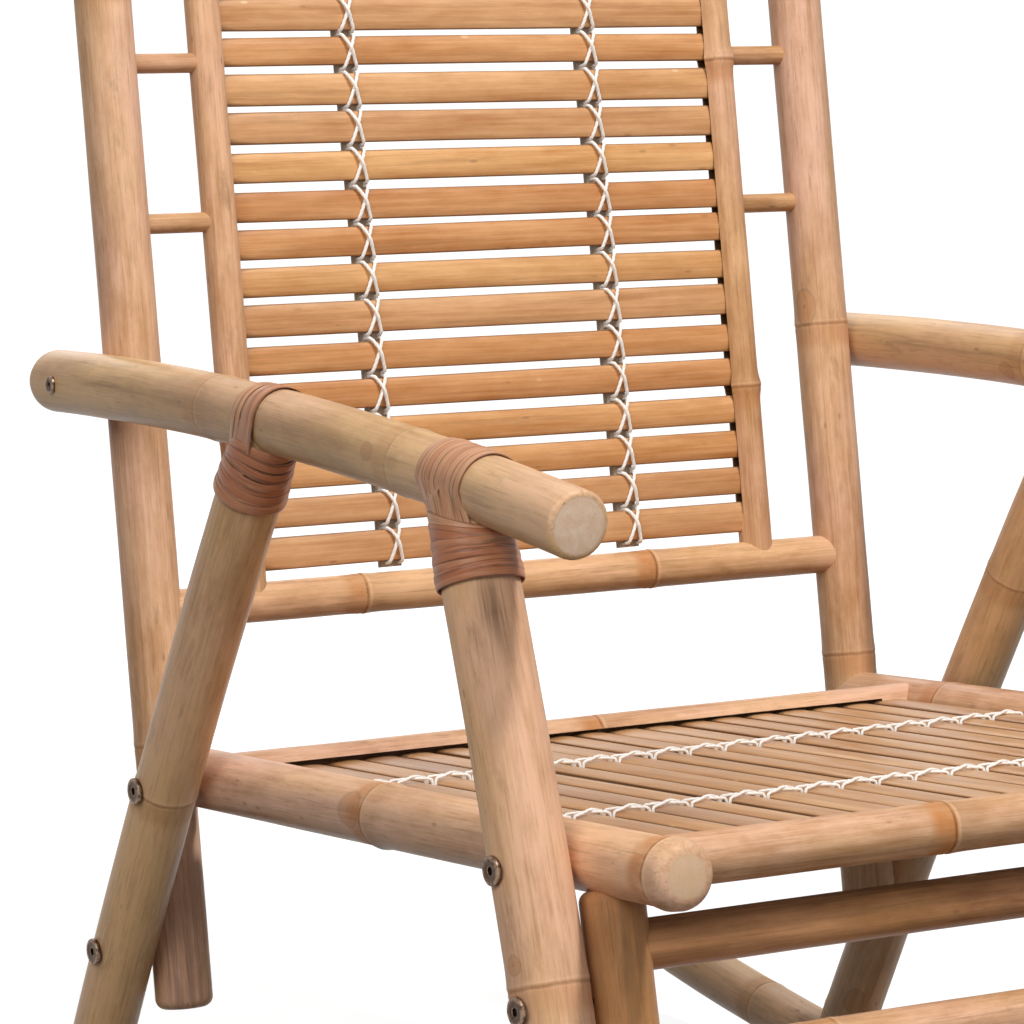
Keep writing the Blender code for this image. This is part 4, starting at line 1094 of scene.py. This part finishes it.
def buildLashing(side, kind):
    make = lashMake[kind]
    lots = random.Random(lashMake["seed"] + 10 * (side == "left") + 3 * (kind == "front_leg"))
    outward = xAxis * sideSign[side]
    legName = f"{kind}_{side}"
    leg, arm = axes[legName], axes[f"armrest_{side}"]
    legPlace, armPlace = meeting(leg, arm, leg["end"])
    joint, forward = axisPoint(arm, armPlace), axisDirection(arm, armPlace)
    down = -axisDirection(leg, legPlace - 0.03)
    across = (forward - down * forward.dot(down)).normalized()  # square to the leg, to the front
    lean = forward.dot(across)
    tilt = forward.dot(down) / lean
    upright = -(down - forward * down.dot(forward)).normalized()
    half = lashMake["thickness"] / 2 + lashMake["lift"]
    armRadius = culmRadius(poleRows[f"armrest_{side}"], arm, armPlace, 0)
    below = armRadius / lean  # from the armrest's axis to its underside, down the leg
    layer = lashMake["layer"]

    def legReach(depth):
        return leg["radius"] * narrowing(poleRows[legName], leg, legPlace - depth) + half

    def onLeg(depth, turn, raised=0.0):
        out = outward * math.cos(turn) + across * math.sin(turn)
        return axisPoint(leg, legPlace - depth) + out * (legReach(depth) + raised), out

    def clearOf(point, armReach):
        # a tail goes outside the armrest and the leg
        out = point - axisPoint(arm, armPlace + (point - joint).dot(forward))
        out -= forward * out.dot(forward)
        point = point + out.normalized() * max(0, armReach - out.length)
        depth = (point - joint).dot(down)
        if depth > 0.3 * armRadius:
            out = point - axisPoint(leg, legPlace - depth)
            point = point + out.normalized() * max(0, legReach(depth) - out.length)
        return point

    bm, layers = newMesh("stripSpot", "tone", "edge")
    # passes over the armrest, their ends tucked under the turns round the leg
    for number, (shift, width) in enumerate(make["passes"]):
        shift += spread(lots, lashMake["passShift"])
        slant = spread(lots, lashMake["slant"])
        reach = armRadius + half + layer * (number % 2) + lots.uniform(0, layer)
        points, normals = [], []
        for step in range(-lashMake["passSteps"], lashMake["passSteps"] + 1):
            turn = math.radians(90 + lashMake["passTurn"] * step)
            out = outward * math.cos(turn) + upright * math.sin(turn)
            ahead = shift / lean + slant * step / lashMake["passSteps"]
            points.append(joint + forward * ahead + out * reach)
            normals.append(out)
        for end in (0, -1):
            held = make["spread"] * shift + make["ahead"] + spread(lots, lashMake["footSpread"])
            turn = math.asin(held / leg["radius"])
            turn = math.pi - turn if end else turn
            knee, out = onLeg(below + lashMake["knee"] + tilt * held, turn)
            extra = [clearOf(points[end].lerp(knee, share), reach) for share in lashMake["tailShares"]]
            outs = [normals[end].lerp(out, share) for share in lashMake["tailShares"]]
            for depth in lashMake["tail"]:
                extra.append(onLeg(below + depth + tilt * held, turn)[0])
                outs.append(out)
            if end == 0:
                points, normals = extra[::-1] + points, outs[::-1] + normals
            else:
                points, normals = points + extra, normals + outs
        addStrip(bm, layers, points, normals, width * lots.uniform(0.92, 1.08), lots.uniform(0.5, 1.0),
                 lots.uniform(0, 40))
    # turns round the leg, level with the armrest at first and square to the leg lower down
    wave = lots.uniform(0, 6)
    steps = round(2 * lashMake["overlap"] * math.pi * leg["radius"] / lashMake["step"])
    for number in range(make["turns"]):
        points, normals = [], []
        for step in range(steps + 1):
            share = number + lashMake["overlap"] * step / steps
            turn = 2 * math.pi * share + lashMake["from"]
            level = tilt * leg["radius"] * math.sin(turn) * max(0, 1 - share / lashMake["levelTurns"])
            sag = 0.0006 * math.sin(turn + wave + 1.7 * number) + 0.0003 * math.sin(2 * turn + 2.1 * number)
            rise = make["rise"] * math.cos(turn) ** 2 * max(0, 1 - share / lashMake["riseTurns"])
            depth = below + lashMake["turnsFrom"] + make["top"] + make["turnPitch"] * share
            point, out = onLeg(depth + level + sag - rise, turn, lashMake["turnLayer"] + layer * (number % 2))
            points.append(point)
            normals.append(out)
        width = make["topWidth"] if number == 0 else make["turnWidth"] * lots.uniform(0.85, 1.25)
        tone = make["topTone"] if number == 0 else lots.uniform(0.0, 0.45)
        addStrip(bm, layers, points, normals, width, tone, lots.uniform(0, 40))
    nodeName = f"{kind.split('_')[0]}_lashing_{side}"
    finishPiece(f"rattan_{nodeName}", bm, ("rattan",), (nodeName,), sharp=60)


for side in sideSign:
    for kind in ("front_leg", "rear_leg"):
        buildLashing(side, kind)
print("lashings made: 4")


# Bolts with a hexagon socket, and the dowels in the feet

boltMake = {"sides": 36, "head": 0.0028, "edge": 0.0008, "socket": 0.0026, "socketDepth": 0.0018,
            "shank": 0.003, "fullRadius": 0.008, "spin": 7}


def hexagon(angle):
    return math.cos(math.pi / 6) / math.cos((angle + math.pi / 6) % (math.pi / 3) - math.pi / 6)


def buildBolt(nodeName):
    low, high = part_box(nodeName)
    sign = 1 if nodeName.endswith("left") else -1
    tip = low.x if sign > 0 else high.x
    top = high.x if sign > 0 else low.x
    radius = (high.y - low.y) / 2
    head, edge, shank = boltMake["head"], boltMake["edge"], boltMake["shank"]
    deep = boltMake["socketDepth"]
    socket = boltMake["socket"] * min(1, radius / boltMake["fullRadius"])
    reach = abs(top - tip)
    # depth under the head's top, radius, how much of a hexagon it is, wear
    profile = [(reach, 0.0010, 0, 0), (reach, shank, 0, 0), (head, shank, 0, 0),
               (head, radius - 0.0002, 0, 0.2), (head - 0.0003, radius, 0, 0.6), (edge, radius, 0, 1)]
    profile += [(edge * (1 - math.sin(turn)), radius - edge * (1 - math.cos(turn)), 0, 1)
                for turn in (0.4, 0.8, 1.2, math.pi / 2)]
    profile += [(-0.0001, radius * 0.72, 0, 0.5), (-0.0001, socket * 1.28, 0, 0.3),
                (0.0002, socket * 1.06, 0.8, 0.8), (0.0004, socket, 1, 0), (deep, socket, 1, 0),
                (deep + 0.0003, 0.0006, 0, 0)]
    middle = (low + high) / 2
    outward, up = xAxis * sign, Vector((0, 0, 1))
    spin = turned(boltMake["spin"] * len(nodeName), "Z")
    places = [framed((top - sign * depth, middle.y, middle.z), up.cross(outward), up, outward) @ spin
              for depth, *_ in profile]
    bm = bmesh.new()
    edgeLayer = bm.verts.layers.float.new("edge")

    def shape(number, angle):
        _, size, share, _ = profile[number]
        size *= 1 - share + share * hexagon(angle)
        return size * math.cos(angle), size * math.sin(angle)

    grown = growTube(bm, boltMake["sides"], places, shape)
    for (*_, wear), ring in zip(profile, grown["rings"]):
        for vert in ring:
            vert[edgeLayer] = wear
    closeEnds(bm, grown)
    finishPiece(f"bronzed_{nodeName}", bm, ("steel",), (nodeName,), sharp=35)


boltNodes = [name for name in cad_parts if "bolt" in name or "screw" in name]
for name in boltNodes:
    buildBolt(name)
for name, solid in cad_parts.items():
    if "dowel" in name:
        solid.data.materials.clear()
        solid.data.materials.append(finishes["dowel"])
print("bolts made:", len(boltNodes))


# Floor, light and camera

stageMake = {"size": 200.0, "floor": (0.30, 0.30, 0.30), "bounce": (0.05, 0.05, 0.05), "roughness": 0.9,
             "glow": 0.82, "whiteFrom": (1.0, 3.0), "world": 0.09, "lampColour": (1.0, 0.985, 0.96),
             "aim": (0.0, 0.05, 0.45),
             "key": {"at": (0.45, -1.54, 3.20), "size": 0.28, "power": 83.0},
             "front": {"at": (-0.9, -3.1, 1.5), "size": 2.2, "power": 26.0},
             "left": {"at": (-2.6, -1.3, 2.3), "size": 1.8, "power": 48.0},
             "rear": {"at": (0.9, 3.0, 2.1), "size": 2.0, "power": 24.0}}


def seenRays(tree):
    rays = addNode(tree, "ShaderNodeLightPath", {}).outputs
    seen = Wave(tree, rays["Is Camera Ray"])
    for kind in ("Glossy", "Transmission"):
        seen = seen.maths("MAXIMUM", Wave(tree, rays[f"Is {kind} Ray"]))
    return seen


def buildFloor():
    bm = bmesh.new()
    bmesh.ops.create_grid(bm, x_segments=1, y_segments=1, size=stageMake["size"] / 2)
    mesh = bpy.data.meshes.new("floor")
    bm.to_mesh(mesh)
    bm.free()
    made, tree, shader = newFinish("studio floor")
    seen = seenRays(tree)
    spot = put(tree, "ShaderNodeTexCoord", {}, "Object")
    away = put(tree, "ShaderNodeVectorMath", {0: spot}, "Value", operation="LENGTH")
    # plain white away from the shadow
    glow = away.ease(*stageMake["whiteFrom"]) * (1 - stageMake["glow"]) + stageMake["glow"]
    setInputs(shader, {"Base Color": mix(seen, stageMake["bounce"], stageMake["floor"]),
                       "Roughness": stageMake["roughness"], "Emission Color": (1, 1, 1),
                       "Emission Strength": seen * glow})
    mesh.materials.append(made)
    floor = bpy.data.objects.new("floor", mesh)
    bpy.context.scene.collection.objects.link(floor)


def buildWorld():
    world = bpy.data.worlds.new("studio")
    bpy.context.scene.world = world
    world.use_nodes = True
    strength = seenRays(world.node_tree) * (1 - stageMake["world"]) + stageMake["world"]
    setInputs(world.node_tree.nodes["Background"], {"Color": (1, 1, 1), "Strength": strength})


def addLamp(name):
    lamp = bpy.data.lights.new(name, "AREA")
    lamp.energy = stageMake[name]["power"]
    lamp.size = stageMake[name]["size"]
    lamp.color = stageMake["lampColour"]
    holder = bpy.data.objects.new(name, lamp)
    holder.location = stageMake[name]["at"]
    holder.rotation_euler = (Vector(stageMake["aim"]) - holder.location).to_track_quat("-Z", "Y").to_euler()
    bpy.context.scene.collection.objects.link(holder)


buildFloor()
buildWorld()
for name in ("key", "front", "left", "rear"):
    addLamp(name)

cameraMake = {"lens": 151.94, "sensor": 36.0, "at": (-1.48836, -2.22355, 0.81837),
              "down": 7.240, "turn": -31.057}
lens = bpy.data.cameras.new("photo view")
lens.lens = cameraMake["lens"]
lens.sensor_width = cameraMake["sensor"]
camera = bpy.data.objects.new("photo view", lens)
camera.location = cameraMake["at"]
camera.rotation_euler = (math.radians(90 - cameraMake["down"]), 0, math.radians(cameraMake["turn"]))
bpy.context.scene.collection.objects.link(camera)
bpy.context.scene.camera = camera
bpy.context.scene.view_settings.view_transform = "Standard"
print("stage set")
